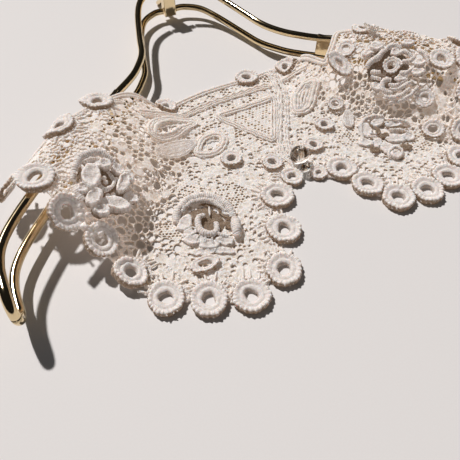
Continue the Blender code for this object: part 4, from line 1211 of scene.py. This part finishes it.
# %% The loops of a fastened-off thread
# A loop's points: the share of its reach, the share of its rise, and how far it has bent round.
LOOP = ((0.5, 0.7, 0.0), (1.0, 1.0, 0.0), (0.6, 0.55, 0.5))
LOOSE_END = (125.0, -50.0, 0.0)

chance = np.random.default_rng(61)
made = []
for i in range(7):
    lean = np.radians(130 + 22 * i + chance.uniform(-8, 8))
    reach, rise = chance.uniform(4, 9), chance.uniform(5, 11)
    first, last = chance.uniform(-1.5, 1.5, (2, 2))
    bow = [polar(reach * out, lean + bend, rise * up) for out, up, bend in LOOP]
    line = smooth_line([(*first, 0.5), *bow, (*last, 0.5)], 0.4)
    made.append(tube(line, 0.75, sides=6, pitch=1.2, relief=0.12))
hand_over("thread_loops", moved(joined(made), LOOSE_END), CORD_COTTON, place=lifted(CLOTH - 0.4))

# %% [markdown]
# ## The joins between motifs
#
# Round each ring a row of stitches joins it to the mesh, and short bars run from that row into the filling.

# %% Joins
ROW_OUT, ROW_HALF, BAR_HALF, BARS = 1.7, 78, 70, 8


def joins(rows, middle, seed):
    """For each ring, a wavy arc just outside it on the side of the cloth's middle, and bars away from it."""
    chance = np.random.default_rng(seed)
    made = []
    for x, y, r in rows:
        facing = np.degrees(np.arctan2(middle[1] - y, middle[0] - x))
        row = arc(r + ROW_OUT, facing - ROW_HALF, facing + ROW_HALF, 1.1, 120)
        row[:, :2] *= 1 + 0.035 * np.sin(np.linspace(0, 9 * np.pi, 120) + chance.uniform(0, 6))[:, None]
        made.append(moved(tube(row, 0.85, sides=8, pitch=1.3, relief=0.16), (x, y, 0)))
        for turn in facing + np.linspace(-BAR_HALF, BAR_HALF, BARS) + chance.uniform(-6, 6, BARS):
            t, out = np.radians(turn), r + chance.uniform(5.5, 9.5)
            bend = np.radians(turn + chance.uniform(-9, 9))
            line = smooth_line([polar(r + 0.6, t, 1.0), polar((r + out) / 2, (t + bend) / 2, 1.7),
                                polar(out, bend, 1.0)], 0.5)
            made.append(moved(tube(line, 0.8, sides=6, pitch=1.2, relief=0.16), (x, y, 0)))
    return joined(made)


for side, rows, middle, seed in (("left", LEFT_EDGE, (-85, -110), 71), ("right", RIGHT_EDGE, (90, -110), 72)):
    hand_over(f"joins_{side}", joins(rows, middle, seed), CORD_COTTON, place=lifted(0.1))

# %% [markdown]
# ## The fastening
#
# One clear glass ball with a bead under it closes the front. Glass shows what is behind it, so its shape has
# to be truly round: a fine grid of rings stands for the ball. A painted dark reflection lies on its flanks,
# and a painted glow where it would focus the sun's light.

# %% Glass ball and bead
SIGHT = (0.436, 0.9)


def glass_ball(centre, radius):
    """A sphere on a grid of tilts and turns, with a face at each pole.

    A painted glow stands for the sun's light focused on its far side, and across the line of sight its flanks
    carry a painted dark reflection with two clear streaks in it.
    """
    tilt = np.linspace(0.04, np.pi - 0.04, 40)[:, None]
    turn = np.linspace(0, 2 * np.pi, 64, endpoint=False)
    out = np.stack(np.broadcast_arrays(*polar(np.sin(tilt), turn, np.cos(tilt))), -1)
    away = np.degrees(np.arccos(np.clip(out @ SUN_UNIT, -1, 1)))
    across = np.abs(out @ [SIGHT[1], -SIGHT[0], 0.0])
    painted_caustic_share = np.clip(1 - np.abs(away - 52) / 12, 0, 1) * (0.75 + 0.25 * np.cos(out[..., 0] * 9))
    clear = np.clip((0.34 - across) / 0.1, 0, 1) * (np.abs(across - 0.1) > 0.04) + (away < 75)
    return wrapped(radius * out + centre, False, np.clip(clear, 0, 1), (painted_caustic_share, 0.0, 0.0))


for name, x, y, radius, over_seam in (("ball", 9.5, -126.5, 7.2, 0.0), ("bead", 8.2, -137.5, 3.7, 1.0)):
    centre = (x, y, height(x, y) + CLOTH + SEAM + radius + over_seam)
    hand_over(f"glass_{name}", glass_ball(centre, radius), GLASS, f"button_{name}", slot="glass")

# %% [markdown]
# ## The hanger
#
# Two brass rails run one above the other from a block at the middle to a bend at each end, a plate joins them
# where they leave the lace, and a bare hook leaves the block. Each pair of rails is one tube along one line.

# %% Rails, plates, block and hook
PLATE_HALF = (7.0, 1.7, 2.5)
HOOK_RADIUS, HOOK_WIRE, HOOK_W = 19, 2.5, 2.6
STEM = [(0, 121.4, 20), (0, 127, 20), (0, 139, 9.5), (0, 149, 2.8), (4.5, 151.2, HOOK_W)]


def rail_line():
    """Along the lower rail, round the end bend and back along the upper rail."""
    low, high = (smooth_line(ARM[:, [0, 1, rail]], 2.0) for rail in (2, 3))
    x, y, bottom, top = ARM[-1]
    half = (top - bottom) / 2
    c, s = cos_sin(np.linspace(-86, 86, 40))
    bend = np.column_stack([np.full(len(c), x), y - half * c, bottom + half + half * s])
    return np.vstack([low, bend, high[::-1]])


def plan_heading(line):
    """Outwards along the arm at every point, also round the bend, so that the tube never twists."""
    step = np.gradient(line, axis=0)
    plan = np.hypot(step[:, 0], step[:, 1])[:, None]
    heading = np.where(plan > 1e-6, step[:, :2] / np.maximum(plan, 1e-6), [[0.0, -1.0]])
    back = (heading @ [0.0, -1.0] < -0.2) & (np.arange(len(line)) > len(line) // 2)
    return np.where(back[:, None], -heading, heading)


def boxed(middle, half, turn=0.0, corner=0.5):
    """A block with rounded edges: a sphere's grid pushed out to a box, with the corners kept round."""
    v = np.linspace(-np.pi / 2 + 0.02, np.pi / 2 - 0.02, 24)[:, None]
    u = np.linspace(0, 2 * np.pi, 48, endpoint=False)
    ball = np.stack(np.broadcast_arrays(*polar(np.cos(v), u, np.sin(v))), -1)
    made = wrapped(np.clip(ball * 3.2, -1, 1) * (np.array(half) - corner) + ball * corner)
    return moved(turned(made, turn), middle)


line = rail_line()
heading = plan_heading(line)
before, here, after = ARM[PLATE - 1:PLATE + 2]
plate_turn = np.degrees(np.arctan2(after[1] - before[1], after[0] - before[0]))
plate_half = (*PLATE_HALF[:2], (here[3] - here[2]) / 2 + PLATE_HALF[2])
for side, sign in (("left", -1), ("right", 1)):
    route = line * [sign, 1, 1]
    across = np.column_stack([heading[:, 1], -heading[:, 0], np.zeros(len(line))]) * [1, sign, 1]
    rails = tube(route, ROD_RADIUS, sides=24, up=np.cross(across, unit(np.gradient(route, axis=0))))
    plate = boxed((sign * here[0], here[1], (here[2] + here[3]) / 2), plate_half, sign * plate_turn)
    hand_over(f"rails_{side}", joined([rails, plate]), BRASS, f"hanger_rod_{side}", slot="brass")
block = boxed((0.0, 116.0, 21.0), (6.0, 5.0, 15.5), corner=0.9)
hand_over("block", block, BRASS, "hanger_block", slot="brass")
crook = arc(HOOK_RADIUS, -62, 150, HOOK_W, 70) + [0, 169, 0]
stem = smooth_line([*STEM, tuple(crook[0])], 0.8)
hand_over("hook", tube(np.vstack([stem, crook[1:]]), HOOK_WIRE, sides=24), BRASS, "hanger_hook", slot="brass")

# %% [markdown]
# ## Table, light and camera
#
# The collar lies on a pale surface under one strong soft-edged light from behind and to the left, with little
# fill, so the shadows are dark and the brass reflects a dark room.

# %% Table
TABLE_HALF = 4
table_mesh = bpy.data.meshes.new("table_top")
corners = [(x * TABLE_HALF, y * TABLE_HALF, 0) for x, y in ((-1, -1), (1, -1), (1, 1), (-1, 1))]
table_mesh.from_pydata(corners, [], [(0, 1, 2, 3)])
table_top = add_object("table_top", table_mesh)
paper, tree, shader = new_finish("pale_paper")
fleck = mixed(tree, noise(tree, 900.0, 3.0), (0.765, 0.745, 0.735, 1), (0.795, 0.775, 0.765, 1))
feed(tree, shader, {"Base Color": fleck, "Roughness": 0.75})
table_mesh.materials.append(paper)
table_top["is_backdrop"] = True
print("table:", 2 * TABLE_HALF, "m square")

# %% Light
def facing(way):
    return Vector(way).to_track_quat("-Z", "Y").to_euler()


sun_data = bpy.data.lights.new("key", "SUN")
sun_data.energy = 3.45
sun_data.angle = np.radians(2.4)
sun_data.color = (1.0, 0.965, 0.945)
sun = add_object("key", sun_data)
sun.rotation_euler = facing(SUN_WAY)
world = bpy.data.worlds.new("studio")
world.use_nodes = True
bpy.context.scene.world = world
tree = world.node_tree
ray = wire(tree, "ShaderNodeLightPath").outputs
mirrored = math_node(tree, "MAXIMUM", ray["Is Glossy Ray"], ray["Is Transmission Ray"])
# Brass and glass see a darker room than the cloth does.
fill = wire(tree, "ShaderNodeMapRange", {"Value": mirrored, "From Min": 0.0, "From Max": 1.0, "To Min": 0.07,
                                         "To Max": 0.012})
feed(tree, tree.nodes["Background"], {"Color": (0.97, 0.97, 1.0, 1), "Strength": fill.outputs["Result"]})
bpy.context.scene.view_settings.view_transform = "Standard"
print("light:", sun_data.energy, "from the sun")

# %% Camera
SENSOR, FOCAL_PER_WIDTH = 36.0, 470.0 / 460.0
CAMERA_DOWN = 52
camera_data = bpy.data.cameras.new("camera")
camera_data.sensor_width = SENSOR
camera_data.lens = FOCAL_PER_WIDTH * SENSOR
camera_data.clip_end = 20.0
camera = add_object("camera", camera_data)
camera.location = (-0.150, -0.337 - PLAN_CENTRE_Y * MM, 0.250)
level, down = cos_sin(CAMERA_DOWN)
camera.rotation_euler = facing((SIGHT[0] * level, SIGHT[1] * level, -down))
bpy.context.scene.camera = camera
print("camera:", round(camera_data.lens, 1), "mm lens, looking", CAMERA_DOWN, "degrees down")

# %% [markdown]
# ## Count the triangles
#
# The two halves of the mesh are sheets, and the area of each one's cut is printed as it is made. Last, the
# triangles of the shown meshes are counted, before modifiers.

meshes = [piece.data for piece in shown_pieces() if piece.type == "MESH"]
triangles = sum(len(face.vertices) - 2 for mesh in meshes for face in mesh.polygons)
print("triangles before modifiers:", triangles, "pieces:", len(meshes))
